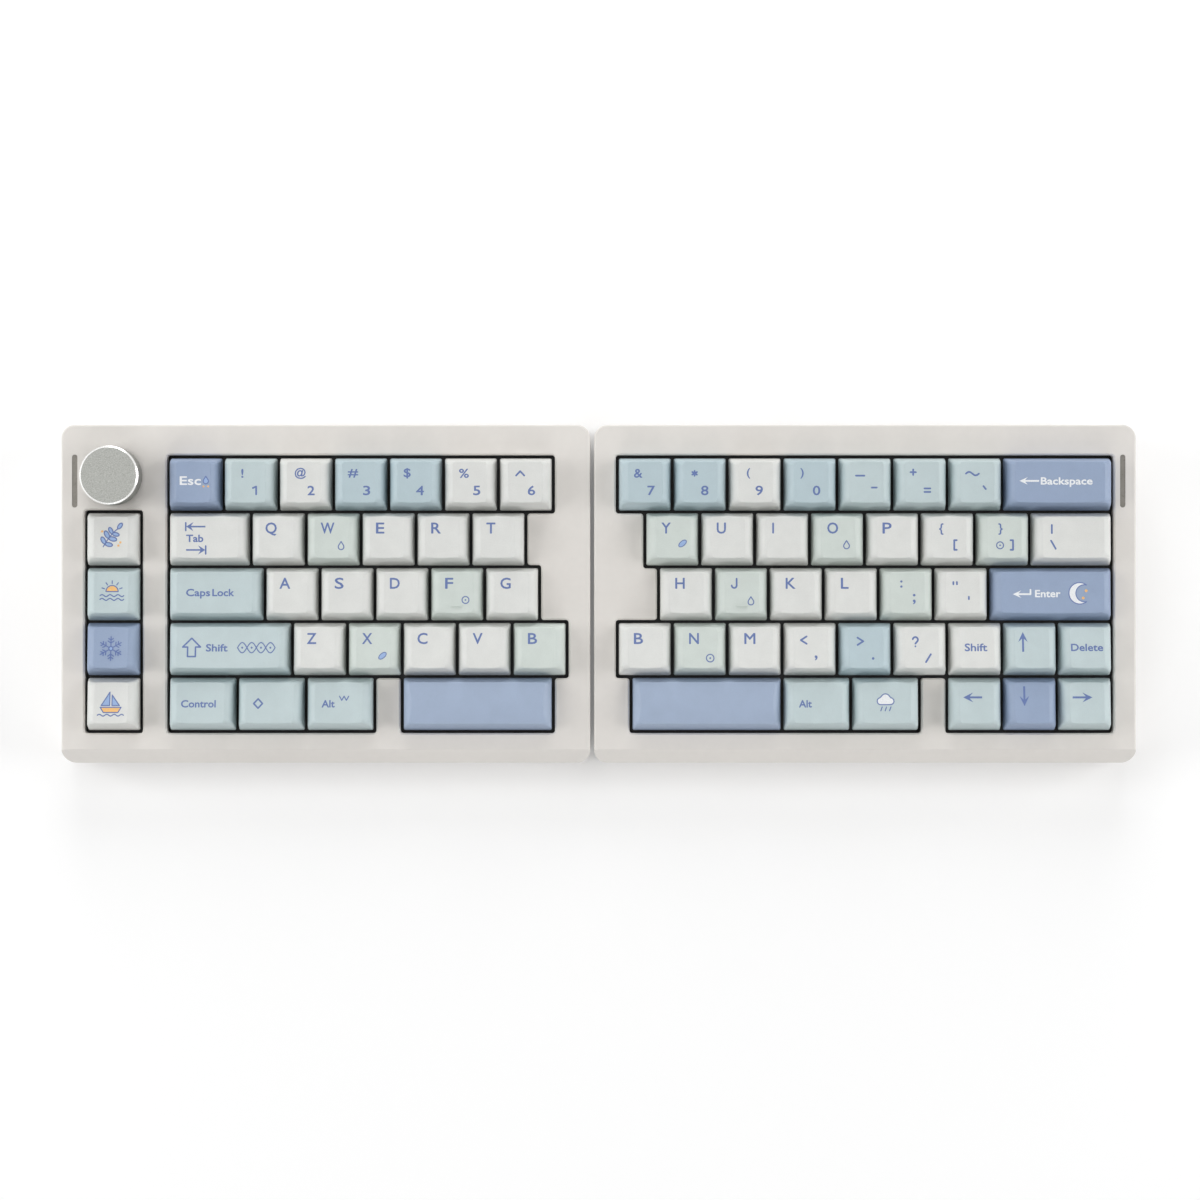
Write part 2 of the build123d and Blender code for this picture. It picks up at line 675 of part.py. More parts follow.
def circuit_board(half):
    """Board under the plate, with a contact socket below it for every switch."""
    sheet = outline(half, BOARD_INSET)
    radius = PIVOT_POST_RADIUS + POST_HOLE_CLEARANCE
    holes = [Pos(key.u, key.v) * Circle(radius) for key in keys_of(half)]
    holes += [guide_rectangle(0, u, v, side) for u, v, side in stabilizer_places(half)]
    holes += [Pos(u, v) * Circle(BOSS_RADIUS + NOTCH_CLEARANCE) for u, v in boss_places(half)]
    board = prism(sheet - holes, BOARD_BOTTOM, BOARD_TOP)
    socket = block(
        SOCKET_WIDTH, SOCKET_DEPTH, BOARD_BOTTOM - SOCKET_THICKNESS, BOARD_BOTTOM, 0, SOCKET_SHIFT
    )
    return [board] + copies(socket, [(key.u, key.v) for key in keys_of(half)])


def switch_housing():
    """One switch housing, hollow for its slider, with the round post that locates it."""
    lower = SWITCH_HOLE - 2 * SWITCH_FIT
    body = block(lower, lower, BOARD_TOP, 0)
    body += block(FLANGE_WIDTH, FLANGE_WIDTH, 0, FLANGE_THICKNESS)
    base = Pos(0, 0, FLANGE_THICKNESS) * Rectangle(UPPER_BASE, UPPER_BASE)
    crest = Pos(0, 0, HOUSING_TOP) * Rectangle(UPPER_TOP, UPPER_TOP)
    body += loft([base, crest])
    body += post(PIVOT_POST_RADIUS, BOARD_TOP - PIVOT_POST_LENGTH, BOARD_TOP)
    body -= block(CAVITY_WIDTH, CAVITY_DEPTH, CAVITY_BOTTOM, ROOF_INSIDE)
    return body - block(APERTURE_WIDTH, APERTURE_DEPTH, ROOF_INSIDE, HOUSING_TOP)


def switch_spring():
    """A switch's spring, as a sleeve of its pressed length, which the slider closes over."""
    top = POCKET_TOP - KEY_TRAVEL - SPRING_CLEARANCE
    sleeve = post(SPRING_RADIUS, CAVITY_BOTTOM, top)
    return sleeve - post(SPRING_RADIUS - SPRING_WIRE, CAVITY_BOTTOM, top)


def cross(play):
    """The cross-shaped end of a stem, or with play the socket for it."""
    along = Rectangle(CROSS_SPAN + 2 * play, CROSS_ALONG + 2 * play)
    return along + Rectangle(CROSS_ACROSS + 2 * play, CROSS_SPAN + 2 * play)


def switch_slider():
    """The sliding stem of a switch: shoulders under the roof, neck, cross and spring pocket."""
    body = block(SLIDER_WIDTH, SLIDER_DEPTH, SLIDER_BOTTOM, SLIDER_SHOULDER)
    body += block(NECK_WIDTH, NECK_DEPTH, SLIDER_SHOULDER, HOUSING_TOP)
    body += prism(cross(0), HOUSING_TOP, STEM_TOP)
    return body - post(SPRING_RADIUS + SPRING_CLEARANCE, SLIDER_BOTTOM, POCKET_TOP)


def stabilizer_guide(side):
    """A guide box on the board, with a slot for the wire's arm and an ear under its bar."""
    inward, outward, front, rear = guide_bounds()
    walls = guide_rectangle(GUIDE_WALL, 0, 0, 1) - guide_rectangle(0, 0, 0, 1)
    body = prism(walls, BOARD_TOP, GUIDE_TOP)
    arm = SLIDE_BLOCK_WIDTH / 2 + GUIDE_CLEARANCE
    slot_width = outward - arm
    slot_top = PIN_HEIGHT
    body -= block(slot_width, 2 * GUIDE_WALL, BOARD_TOP, slot_top, arm + slot_width / 2, front - GUIDE_WALL)
    ear_width = arm - inward + GUIDE_WALL
    ear_u = (arm + inward - GUIDE_WALL) / 2
    ear_v = front - GUIDE_WALL - EAR_LENGTH / 2
    body += block(ear_width, EAR_LENGTH, BOARD_TOP, WIRE_HEIGHT, ear_u, ear_v)
    groove = Rot(0, 90, 0) * Cylinder(WIRE_RADIUS + WIRE_FIT, ear_width)
    body -= Pos(ear_u, -WIRE_AHEAD, WIRE_HEIGHT) * groove
    return body if side > 0 else mirror(body, Plane.YZ)


def pin_centre():
    """Middle of the path, along v, of the wire's end in its slider."""
    swing = radians(WIRE_SWING)
    return -WIRE_AHEAD + WIRE_ARM * (1 + cos(swing)) / 2


def stabilizer_slider(side):
    """The sliding block of a stabilizer, slotted for the wire's end."""
    bottom = PIN_HEIGHT - WIRE_RADIUS - SLIDE_BLOCK_SOLE
    body = block(SLIDE_BLOCK_WIDTH, SLIDE_BLOCK_DEPTH, bottom, HOUSING_TOP)
    body += prism(cross(0), HOUSING_TOP, STEM_TOP)
    half_height = WIRE_RADIUS + 2 * WIRE_FIT
    slot = block(
        SLIDE_BLOCK_WIDTH,
        2 * WIRE_RADIUS + PIN_SLOT_PLAY,
        PIN_HEIGHT - half_height,
        PIN_HEIGHT + half_height,
        0,
        pin_centre(),
    )
    return body - slot


def rod(start, end):
    """A straight length of stabilizer wire with round ends."""
    path = Vector(*end) - Vector(*start)
    middle = (Vector(*end) + Vector(*start)) / 2
    body = Plane(origin=middle, z_dir=path) * Cylinder(WIRE_RADIUS, path.length)
    return body + [Pos(*point) * Sphere(WIRE_RADIUS) for point in (start, end)]


def stabilizer_wire():
    """The bent wire that keeps both ends of a long key level, at rest."""
    swing = radians(WIRE_SWING)
    arm_u = STABILIZER_DISTANCE + SLIDE_BLOCK_WIDTH / 2 + GUIDE_CLEARANCE + WIRE_RADIUS
    tip_v = -WIRE_AHEAD + WIRE_ARM * cos(swing)
    corners = [(side * arm_u, -WIRE_AHEAD, WIRE_HEIGHT) for side in (-1, 1)]
    tips = [(side * arm_u, tip_v, PIN_HEIGHT) for side in (-1, 1)]
    ends = [(side * (arm_u - PIN_OVERHANG), tip_v, PIN_HEIGHT) for side in (-1, 1)]
    wire = rod(corners[0], corners[1])
    for corner, tip, end in zip(corners, tips, ends):
        wire += rod(corner, tip)
        wire += rod(tip, end)
    return wire


def cap_blank(width, depth, shift, height, tilt):
    """A keycap's block: its sides rise steeply, and a broad shoulder rounds in to the leaning top."""
    sections = [RectangleRounded(width, depth, CAP_BASE_RADIUS)]
    stages = (
        (CAP_WAIST_RISE_SHARE, CAP_WAIST_SIDE_SHARE, CAP_WAIST_END_SHARE, CAP_WAIST_RADIUS),
        (CAP_SHOULDER_RISE_SHARE, CAP_SHOULDER_SIDE_SHARE, CAP_SHOULDER_END_SHARE, CAP_SHOULDER_RADIUS),
        (1, 1, 1, CAP_TOP_RADIUS),
    )
    for rise, side, end, radius in stages:
        place = Location((0, shift * end, height * rise), (-tilt * rise, 0, 0))
        across = width - 2 * CAP_SIDE_INSET * side
        along = depth - (CAP_FRONT_INSET + CAP_REAR_INSET) * end
        sections.append(place * RectangleRounded(across, along, radius))
    return loft(sections)


def keycap(share, row, bar=False):
    """One keycap, its skirt at zero height: a dished top, or a crowned one on a space bar."""
    width = share * KEY_PITCH - CAP_GAP
    depth = KEY_PITCH - CAP_GAP
    height = BAR_HEIGHT if bar else CAP_HEIGHTS[row]
    tilt = BAR_TILT if bar else CAP_TILTS[row]
    top_width = width - 2 * CAP_SIDE_INSET
    top_depth = depth - CAP_FRONT_INSET - CAP_REAR_INSET
    shift = (CAP_FRONT_INSET - CAP_REAR_INSET) / 2
    frame = Location((0, shift, height), (-tilt, 0, 0))
    body = cap_blank(width, depth, shift, height, tilt)
    if bar:
        radius = top_depth**2 / (8 * BAR_CROWN) + BAR_CROWN / 2
        crown = frame * (Pos(0, 0, -radius) * (Rot(0, 90, 0) * Cylinder(radius, 2 * width)))
        body &= crown
        crest = body.faces().filter_by(GeomType.CYLINDER).sort_by(SortBy.AREA)[-1]
    else:
        radius = top_width**2 / (8 * CAP_DISH) + CAP_DISH / 2
        dish = Pos(0, 0, radius - CAP_DISH) * (Rot(90, 0, 0) * Cylinder(radius, 2 * depth))
        body -= frame * dish
        crest = body.faces().filter_by(GeomType.CYLINDER).sort_by(SortBy.AREA)[-1]
    body = fillet(crest.edges(), CAP_EDGE_ROUNDING)
    drop = BAR_CROWN if bar else CAP_DISH
    ceiling = height - CAP_ROOF - drop - top_depth / 2 * sin(radians(tilt))
    taper = ceiling / height
    inner_width = width - 2 * CAP_SIDE_INSET * taper - 2 * CAP_WALL
    inner_depth = depth - (CAP_FRONT_INSET + CAP_REAR_INSET) * taper - 2 * CAP_WALL
    opening = Rectangle(width - 2 * CAP_WALL, depth - 2 * CAP_WALL)
    roof = Pos(0, shift * taper, ceiling) * Rectangle(inner_width, inner_depth)
    body -= loft([opening, roof], ruled=True)
    stems = [0.0]
    if share >= STABILIZED_FROM_SHARE:
        stems += [-STABILIZER_DISTANCE, STABILIZER_DISTANCE]
    for u in stems:
        body += post(CAP_SOCKET_RADIUS, CAP_SOCKET_LIFT, ceiling, u)
        socket_top = STEM_TOP - CAP_REST + CROSS_CLEARANCE
        body -= Pos(u, 0, 0) * prism(cross(CROSS_CLEARANCE), CAP_SOCKET_LIFT, socket_top)
    return body


def homing_bar(row):
    """The small raised bar on the cap under each index finger."""
    tilt = CAP_TILTS[row]
    shift = (CAP_FRONT_INSET - CAP_REAR_INSET) / 2
    frame = Location((0, shift, CAP_HEIGHTS[row]), (-tilt, 0, 0))
    bar = Box(HOMING_BAR_LENGTH, HOMING_BAR_WIDTH, 2 * HOMING_BAR_HEIGHT)
    bar = fillet(bar.edges().filter_by(Axis.Z), HOMING_BAR_ROUNDING)
    return frame * (Pos(0, -HOMING_BAR_DISTANCE, -CAP_DISH) * bar)


def is_homing(half, key):
    """Whether a key is the home key of an index finger: the row's inner one on each side."""
    home = [other for other in keys_of(half) if other.row == key.row and other.share == 1.0]
    home = [other for other in home if other.node == key.node]
    if half is LEFT:
        return key.node == "left_home_keys" and key.u == home[-2].u
    return key.node == "right_home_keys" and key.u == home[1].u


def save_keys(half):
    """Write every node of keys: each key is a cap and a stem, and long keys have side stems."""
    caps = {}
    nodes = {}
    slider = switch_slider()
    for key in keys_of(half):
        bar = key.node.endswith("space_bar")
        kind = (key.share, key.row, bar)
        if kind not in caps:
            caps[kind] = keycap(*kind)
        cap = caps[kind]
        if is_homing(half, key):
            cap = cap + homing_bar(key.row)
        pieces = nodes.setdefault(key.node, [])
        pieces.append(Pos(key.u, key.v, CAP_REST) * cap)
        pieces.append(Pos(key.u, key.v, 0) * slider)
        if key.share >= STABILIZED_FROM_SHARE:
            for side in (-1, 1):
                u = key.u + side * STABILIZER_DISTANCE
                pieces.append(Pos(u, key.v, 0) * stabilizer_slider(side))
            wire = Pos(key.u, key.v, 0) * stabilizer_wire()
            save(key.node.replace("_key", "").replace("_bar", "") + "_wire", wire)
    for node, pieces in nodes.items():
        save(node, *pieces)


def light_bar(half):
    """Diffuser of the status light, pushed up through the bezel against its flange."""
    u, v = light_place(half)
    border = 2 * LIGHT_FLANGE_BORDER
    bar = prism(stadium(LIGHT_LENGTH, LIGHT_WIDTH, u, v), CEILING, BEZEL_TOP - LIGHT_SUNK)
    flange = stadium(LIGHT_LENGTH + border, LIGHT_WIDTH + border, u, v)
    return bar + prism(flange, CEILING - LIGHT_FLANGE_THICKNESS, CEILING)


def battery(half):
    """Flat pouch cell, glued to the case's floor."""
    top = SHELL_FLOOR_TOP + BATTERY_THICKNESS
    cell = block(BATTERY_LENGTH, BATTERY_DEPTH, SHELL_FLOOR_TOP, top)
    cell = fillet(cell.edges().filter_by(Axis.Z), BATTERY_ROUNDING)
    return Pos((half.left + half.right) / 2, BATTERY_REAR_SHIFT, 0) * cell


def usb_board(half):
    """Small charging board on two posts, with its port through the rear wall."""
    u = usb_place(half)
    rear = REAR_EDGE - CASE_WALL - USB_BOARD_GAP
    sheet = block(USB_BOARD_WIDTH, USB_BOARD_DEPTH, USB_BOARD_BOTTOM, USB_BOARD_TOP)
    sheet = Pos(u, rear - USB_BOARD_DEPTH / 2, 0) * sheet
    mouth = Pos(u, REAR_EDGE - USB_PORT_SUNK, -USB_PORT_DROP)
    shell = extrude(port_outline(USB_PORT_WIDTH, USB_PORT_HEIGHT), USB_PORT_LENGTH)
    wall = 2 * USB_PORT_WALL
    inside = port_outline(USB_PORT_WIDTH - wall, USB_PORT_HEIGHT - wall)
    shell -= extrude(inside, USB_PORT_DEPTH)
    tongue = Box(USB_TONGUE_WIDTH, USB_TONGUE_LENGTH, USB_TONGUE_THICKNESS)
    shell += Pos(0, -USB_PORT_DEPTH + USB_TONGUE_LENGTH / 2, 0) * tongue
    return [sheet, mouth * shell]


def encoder_body():
    """Body of the rotary encoder, on the board, with its bushing and the plunger's chamber."""
    top = BOARD_TOP + ENCODER_HEIGHT
    bushing_top = top + BUSHING_HEIGHT
    body = block(ENCODER_WIDTH, ENCODER_WIDTH, BOARD_TOP, top)
    body = fillet(body.edges().filter_by(Axis.Z), ENCODER_ROUNDING)
    body += post(BUSHING_RADIUS, top, bushing_top)
    chamber_top = PLUNGER_TOP + CHAMBER_ROOF_CLEARANCE
    body -= post(CHAMBER_RADIUS, BOARD_TOP + CHAMBER_FLOOR, chamber_top)
    return body - post(SHAFT_RADIUS + SHAFT_FIT, chamber_top, bushing_top)


def flatted(radius, bottom, top):
    """A round post with one flat side, as on the end of the encoder's shaft."""
    body = post(radius, bottom, top)
    side = radius - SHAFT_FLAT
    return body - block(2 * radius, 2 * radius, bottom, top, 0, -side - radius)


def encoder_shaft():
    """Shaft of the encoder: round in its bushing and flatted inside the knob."""
    round_top = BOARD_TOP + ENCODER_HEIGHT + BUSHING_HEIGHT
    top = KNOB_TOP - KNOB_ROOF - END_CLEARANCE
    return post(SHAFT_RADIUS, PLUNGER_TOP, round_top) + flatted(SHAFT_RADIUS, round_top, top)


def volume_knob():
    """Turned knob with a bright chamfer, hollow underneath round its hub."""
    knob = post(KNOB_RADIUS, KNOB_BOTTOM, KNOB_TOP)
    knob = chamfer(knob.edges().sort_by(Axis.Z)[-1], KNOB_CHAMFER)
    knob = chamfer(knob.edges().sort_by(Axis.Z)[0], KNOB_SKIRT_CHAMFER)
    hub_radius = SHAFT_RADIUS + KNOB_HUB_WALL
    hollow = post(KNOB_HOLLOW_RADIUS, KNOB_BOTTOM, KNOB_BOTTOM + KNOB_HOLLOW_DEPTH)
    knob -= hollow - post(hub_radius, KNOB_BOTTOM, KNOB_BOTTOM + KNOB_HOLLOW_DEPTH)
    return knob - flatted(SHAFT_RADIUS + SHAFT_FIT, KNOB_BOTTOM, KNOB_TOP - KNOB_ROOF)


def save_half(half):
    """Write every node of one half."""
    side = half.side
    save(f"{side}_top_case", top_case(half))
    save(f"{side}_bottom_case", bottom_case(half))
    save(f"{side}_case_screws", *case_screws(half))
    save(f"{side}_foot_pads", *foot_pads(half), frame=Location())
    save(f"{side}_gaskets", *gaskets(half))
    save(f"{side}_switch_plate", switch_plate(half))
    save(f"{side}_circuit_board", *circuit_board(half))
    places = [(key.u, key.v) for key in keys_of(half)]
    save(f"{side}_switch_housings", *copies(switch_housing(), places))
    save(f"{side}_switch_springs", *copies(switch_spring(), places))
    guides = [Pos(u, v, 0) * stabilizer_guide(end) for u, v, end in stabilizer_places(half)]
    save(f"{side}_stabilizer_guides", *guides)
    save(f"{side}_light_bar", light_bar(half))
    save(f"{side}_battery", battery(half), frame=Location())
    save(f"{side}_usb_board", *usb_board(half))
    for place, (u, y) in zip(("outer", "inner")[:: -half.outward], foot_places(half)):
        foot = Pos(u, y, FOOT_AXIS_Z) * fold_foot()
        save(f"{side}_{place}_foot", foot, frame=Location())
    save_keys(half)


os.makedirs("parts", exist_ok=True)
for half in (LEFT, RIGHT):
    save_half(half)
knob_place = Pos(KNOB_U, KNOB_V, 0)
save("encoder_body", knob_place * encoder_body())
save("encoder_plunger", knob_place * post(PLUNGER_RADIUS, PLUNGER_TOP - PLUNGER_THICKNESS, PLUNGER_TOP))
save("encoder_shaft", knob_place * encoder_shaft())
save("volume_knob", knob_place * volume_knob())
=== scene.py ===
import json
import math

import bmesh
import bpy
from mathutils import Matrix, Vector
from mathutils.bvhtree import BVHTree
from mathutils.geometry import delaunay_2d_cdt


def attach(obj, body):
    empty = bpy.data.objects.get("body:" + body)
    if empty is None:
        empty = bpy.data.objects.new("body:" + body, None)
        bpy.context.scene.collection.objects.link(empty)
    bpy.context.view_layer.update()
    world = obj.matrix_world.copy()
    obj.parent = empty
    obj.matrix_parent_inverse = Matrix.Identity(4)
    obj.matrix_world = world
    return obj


# The looks of a split keyboard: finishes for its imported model, printed legends on the keycaps,
# contacts in the charging ports, and the light and camera. Places on the key deck are in
# millimetres: x runs to the right, y to the rear along the deck and z square to it, with z = 0
# on the switch plates. A finish's grain is in millimetres too, and everything else in metres.

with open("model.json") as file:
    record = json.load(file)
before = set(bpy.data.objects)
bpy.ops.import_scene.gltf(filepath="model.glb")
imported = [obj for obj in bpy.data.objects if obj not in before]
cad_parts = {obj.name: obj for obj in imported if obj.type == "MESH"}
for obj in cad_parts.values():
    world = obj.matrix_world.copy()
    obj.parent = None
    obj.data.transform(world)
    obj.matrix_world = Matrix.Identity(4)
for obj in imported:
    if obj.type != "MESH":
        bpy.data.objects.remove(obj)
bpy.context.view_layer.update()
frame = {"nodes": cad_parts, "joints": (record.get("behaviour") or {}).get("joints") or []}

MM = 0.001
# Vertices nearer than this are one
WELD = 1e-7

# Camera: its place over the deck, the middle of the frame at the height of the caps' tops, the
# lens, and how near and how far it sees
EYE = (0.0, -2.06, 1108.0)
CENTRE_X = 0.45
DECK_TOP = 8.0
LENS = 95.2
SENSOR = 36.0
CLIP = (0.05, 20.0)

# Colours as red, green and blue out of 255
CAP_COLOURS = {
    "white": (217, 218, 215),
    "mint": (202, 210, 205),
    "teal": (188, 202, 204),
    "sky": (179, 196, 202),
    "periwinkle": (145, 161, 187),
    "lavender": (158, 173, 196),
}
INK_COLOURS = {
    "blue": (97, 116, 166),
    "pale": (150, 175, 214),
    "white": (232, 234, 236),
    "orange": (236, 186, 118),
}
CASE_WHITE = (222, 218, 213)
KNOB_GREY = (148, 149, 145)
CHAMFER_BRIGHT = (240, 240, 238)
DIFFUSER_GREY = (131, 127, 120)
STEM_BLUE = (176, 188, 200)
HOUSING_BLACK = (24, 24, 25)
PLATE_BLACK = (40, 40, 41)
GASKET_BLACK = (38, 38, 38)
BOARD_GREEN = (18, 24, 22)
PAD_GREY = (150, 150, 146)
STEEL_GREY = (150, 150, 150)
SPRING_GREY = (170, 166, 155)
BATTERY_GREY = (160, 162, 165)
CONTACT_GOLD = (196, 164, 92)
FLOOR_WHITE = (238, 238, 238)

# The part of a noise that is stretched over a whole range
NOISE_MIDDLE = (0.3, 0.7)
# Turning lines on the knob's chamfer, and how squarely its faces look up
TURNING_PITCH = 0.12
CHAMFER_RISE = (0.3, 0.95)

# Legends: x runs from a cap's left edge and y from the line through its middle
LETTER_HEIGHT = 3.8
LETTER_X = 5.15
LETTER_Y = 3.75
SIGN_Y = 3.5
DIGIT_Y = -2.4
WORD_HEIGHT = 2.55
WORD_Y = 0.55
# What is added all round a letter, and the widths of drawn lines
BOLD = 0.085
WORD_BOLD = 0.09
LINE_WIDTH = 0.55
STROKE_WIDTH = 0.62
ART_WIDTH = 0.38
WHITE_WIDTH = 0.6
THIN_WIDTH = 0.3
MOON_WIDTH = 0.32
# The letters I and J: half their height, their place past LETTER_X, and the J's hook
STEM_HALF = 1.6
I_SHIFT = 0.4
J_SHIFT = 1.3
HOOK_SIZE = 1.7
HOOK_Y = -0.75
# Steps along a letter's curve, round the end of a stroke and round a letter's rim
CURVE_STEPS = 3
ROUND_STEPS = 5
RIM_STEPS = 2
# Points nearer than this are one, a smaller polygon counts as none, and the kind of net of
# triangles that stays inside its outlines
JOIN = 1e-5
LEAST_AREA = 1e-6
NET_INSIDE = 1

# Ink film: how far it stands over the cap, how much more each later mark does, how far it
# reaches down, the width of the slices in which it follows the cap's curve, and how near a
# corner is on a slice's edge
INK_LIFT = 0.012
INK_STEP = 0.004
INK_DEPTH = 0.08
INK_SLICE = 0.6
INK_SLACK = 1e-7
# A height over every cap, and a width that a cap has and its stem hasn't
ABOVE_ALL = 60.0
CAP_WIDTH_LEAST = 15.0

# Gold contacts on both faces of a charging port's tongue
CONTACT_COUNT = 12
CONTACT_PITCH = 0.5
CONTACT_SIZE = (0.25, 3.4, 0.05)
CONTACT_CENTRE = 3.6
TONGUE_HALF = 0.35

# Soft lights in metres and watts: all round, low enough to shade the sides of the caps, and one
# above on the left
LAMPS = (
    ("left_light", (-1.2, 0.0, 0.55), 9.5),
    ("right_light", (1.2, 0.0, 0.55), 10.8),
    ("rear_light", (0.0, 1.2, 0.55), 9.5),
    ("front_light", (0.0, -1.2, 0.55), 5.8),
    ("key_light", (-0.6, 0.5, 1.3), 4.0),
)
LAMP_SIZE = 0.9
LAMP_AIM = (0.0, 0.0, 0.0)
WORLD_LIGHT = 0.13

# Floor in metres: its own light near the object and far from it, and how near and how far
FLOOR_SIZE = 8.0
FLOOR_GLOW = (0.16, 1.0)
FLOOR_REACH = (0.5, 1.6)


def linear(colour):
    """A colour out of 255 as the linear colour that shaders take."""
    shares = [value / 255 for value in colour]
    return (*(s / 12.92 if s <= 0.04045 else ((s + 0.055) / 1.055) ** 2.4 for s in shares), 1.0)


def shade(colour, factor):
    """A colour made lighter or darker."""
    return tuple(min(255, value * factor) for value in colour)


def ranged(nodes, links, source, start, end, low, high):
    """A source's range from start to end, spread from low to high."""
    node = nodes.new("ShaderNodeMapRange")
    for name, value in zip(("From Min", "From Max", "To Min", "To Max"), (start, end, low, high)):
        node.inputs[name].default_value = value
    links.new(source, node.inputs["Value"])
    return node.outputs["Result"]


def combined(nodes, links, operation, first, second):
    """Two sources combined by a math operation."""
    node = nodes.new("ShaderNodeMath")
    node.operation = operation
    links.new(first, node.inputs[0])
    links.new(second, node.inputs[1])
    return node.outputs["Value"]


def built(shape, name):
    """A finished shape as a mesh."""
    mesh = bpy.data.meshes.new(name)
    shape.to_mesh(mesh)
    shape.free()
    return mesh


def put(name, data):
    """Put an object in the scene."""
    thing = bpy.data.objects.new(name, data)
    bpy.context.scene.collection.objects.link(thing)
    return thing


class Finish:
    """A material with one principled surface, and short ways to add the nodes that vary it."""

    def __init__(self, name, colour, roughness, metallic=0.0):
        self.material = bpy.data.materials.new(name)
        self.material.use_nodes = True
        self.nodes = self.material.node_tree.nodes
        self.links = self.material.node_tree.links
        self.surface = self.nodes["Principled BSDF"]
        self.surface.inputs["Base Color"].default_value = linear(colour)
        self.surface.inputs["Roughness"].default_value = roughness
        self.surface.inputs["Metallic"].default_value = metallic
        self.material.diffuse_color = linear(colour)
        self.place = self.nodes.new("ShaderNodeTexCoord").outputs["Object"]

    def noise(self, size, detail=2.0):
        """Noise with features of a size in millimetres."""
        mapping = self.nodes.new("ShaderNodeMapping")
        mapping.inputs["Scale"].default_value = [1.0 / (size * MM)] * 3
        self.links.new(self.place, mapping.inputs["Vector"])
        noise = self.nodes.new("ShaderNodeTexNoise")
        noise.inputs["Scale"].default_value = 1.0
        noise.inputs["Detail"].default_value = detail
        self.links.new(mapping.outputs["Vector"], noise.inputs["Vector"])
        return noise.outputs["Fac"]

    def spread(self, source, low=0.0, high=1.0):
        """A noise's middle range stretched between two values."""
        return ranged(self.nodes, self.links, source, *NOISE_MIDDLE, low, high)

    def colour(self, source, low, high):
        """Colour the surface between two colours by a source from 0 to 1."""
        mix = self.nodes.new("ShaderNodeMix")
        mix.data_type = "RGBA"
        mix.inputs["A"].default_value = linear(low)
        mix.inputs["B"].default_value = linear(high)
        self.links.new(source, mix.inputs["Factor"])
        self.links.new(mix.outputs["Result"], self.surface.inputs["Base Color"])

    def mixed(self, first, second, share):
        """Two sources mixed into one, with the second's share."""
        mix = self.nodes.new("ShaderNodeMix")
        mix.inputs["Factor"].default_value = share
        self.links.new(first, mix.inputs["A"])
        self.links.new(second, mix.inputs["B"])
        return mix.outputs["Result"]

    def roughness(self, source, low, high):
        """Vary the roughness by a noise."""
        self.links.new(self.spread(source, low, high), self.surface.inputs["Roughness"])

    def bump(self, source, depth):
        """Add relief of a depth in millimetres on top of what is there."""
        bump = self.nodes.new("ShaderNodeBump")
        bump.inputs["Distance"].default_value = depth * MM
        self.links.new(source, bump.inputs["Height"])
        before = self.surface.inputs["Normal"].links
        if before:
            self.links.new(before[0].from_socket, bump.inputs["Normal"])
        self.links.new(bump.outputs["Normal"], self.surface.inputs["Normal"])

    def rings(self, centre, axis, pitch):
        """Fine turning lines about an axis, by the distance to it, as a source from 0 to 1."""
        offset = self.nodes.new("ShaderNodeVectorMath")
        offset.operation = "SUBTRACT"
        offset.inputs[1].default_value = centre
        self.links.new(self.place, offset.inputs[0])
        across = self.nodes.new("ShaderNodeVectorMath")
        across.operation = "CROSS_PRODUCT"
        across.inputs[1].default_value = axis
        self.links.new(offset.outputs["Vector"], across.inputs[0])
        length = self.nodes.new("ShaderNodeVectorMath")
        length.operation = "LENGTH"
        self.links.new(across.outputs["Vector"], length.inputs[0])
        wave = self.nodes.new("ShaderNodeMath")
        wave.operation = "PINGPONG"
        wave.inputs[1].default_value = pitch * MM / 2
        self.links.new(length.outputs["Value"], wave.inputs[0])
        return ranged(self.nodes, self.links, wave.outputs["Value"], 0.0, pitch * MM / 2, 0.0, 1.0)


def sprayed_case():
    """Warm white spray coat with a fine even grain."""
    finish = Finish("case_white", CASE_WHITE, 0.45)
    tone = finish.mixed(finish.noise(38.0), finish.noise(3.0, 3.0), 0.35)
    finish.colour(finish.spread(tone), shade(CASE_WHITE, 0.985), shade(CASE_WHITE, 1.012))
    finish.roughness(finish.noise(1.4), 0.42, 0.52)
    finish.bump(finish.noise(0.9), 0.006)
    finish.bump(finish.noise(0.2, 3.0), 0.006)
    return finish.material


def cap_plastic(name, colour):
    """Matte keycap plastic: a fine sparked grain, and a faint mottle in the tone."""
    finish = Finish(name, colour, 0.55)
    tone = finish.mixed(finish.noise(5.0), finish.noise(0.35, 3.0), 0.5)
    finish.colour(finish.spread(tone), shade(colour, 0.978), shade(colour, 1.018))
    finish.roughness(finish.noise(1.1, 3.0), 0.5, 0.62)
    finish.bump(finish.noise(0.22, 3.0), 0.012)
    return finish.material


def dye(name, colour):
    """Legend dye sunk in the cap's plastic, slightly uneven."""
    finish = Finish(name, colour, 0.55)
    tone = finish.spread(finish.noise(0.3, 3.0))
    finish.colour(tone, shade(colour, 0.96), shade(colour, 1.03))
    finish.roughness(finish.noise(1.1, 3.0), 0.5, 0.6)
    finish.bump(finish.noise(0.22, 3.0), 0.01)
    return finish.material


def blasted_metal(name, colour):
    """Bead-blasted, anodised aluminium with a sparkle of small pits."""
    finish = Finish(name, colour, 0.45, metallic=1.0)
    pits = finish.noise(0.33, 4.0)
    finish.colour(finish.spread(pits), shade(colour, 0.9), shade(colour, 1.1))
    finish.roughness(finish.noise(0.5), 0.4, 0.55)
    finish.bump(pits, 0.03)
    return finish.material


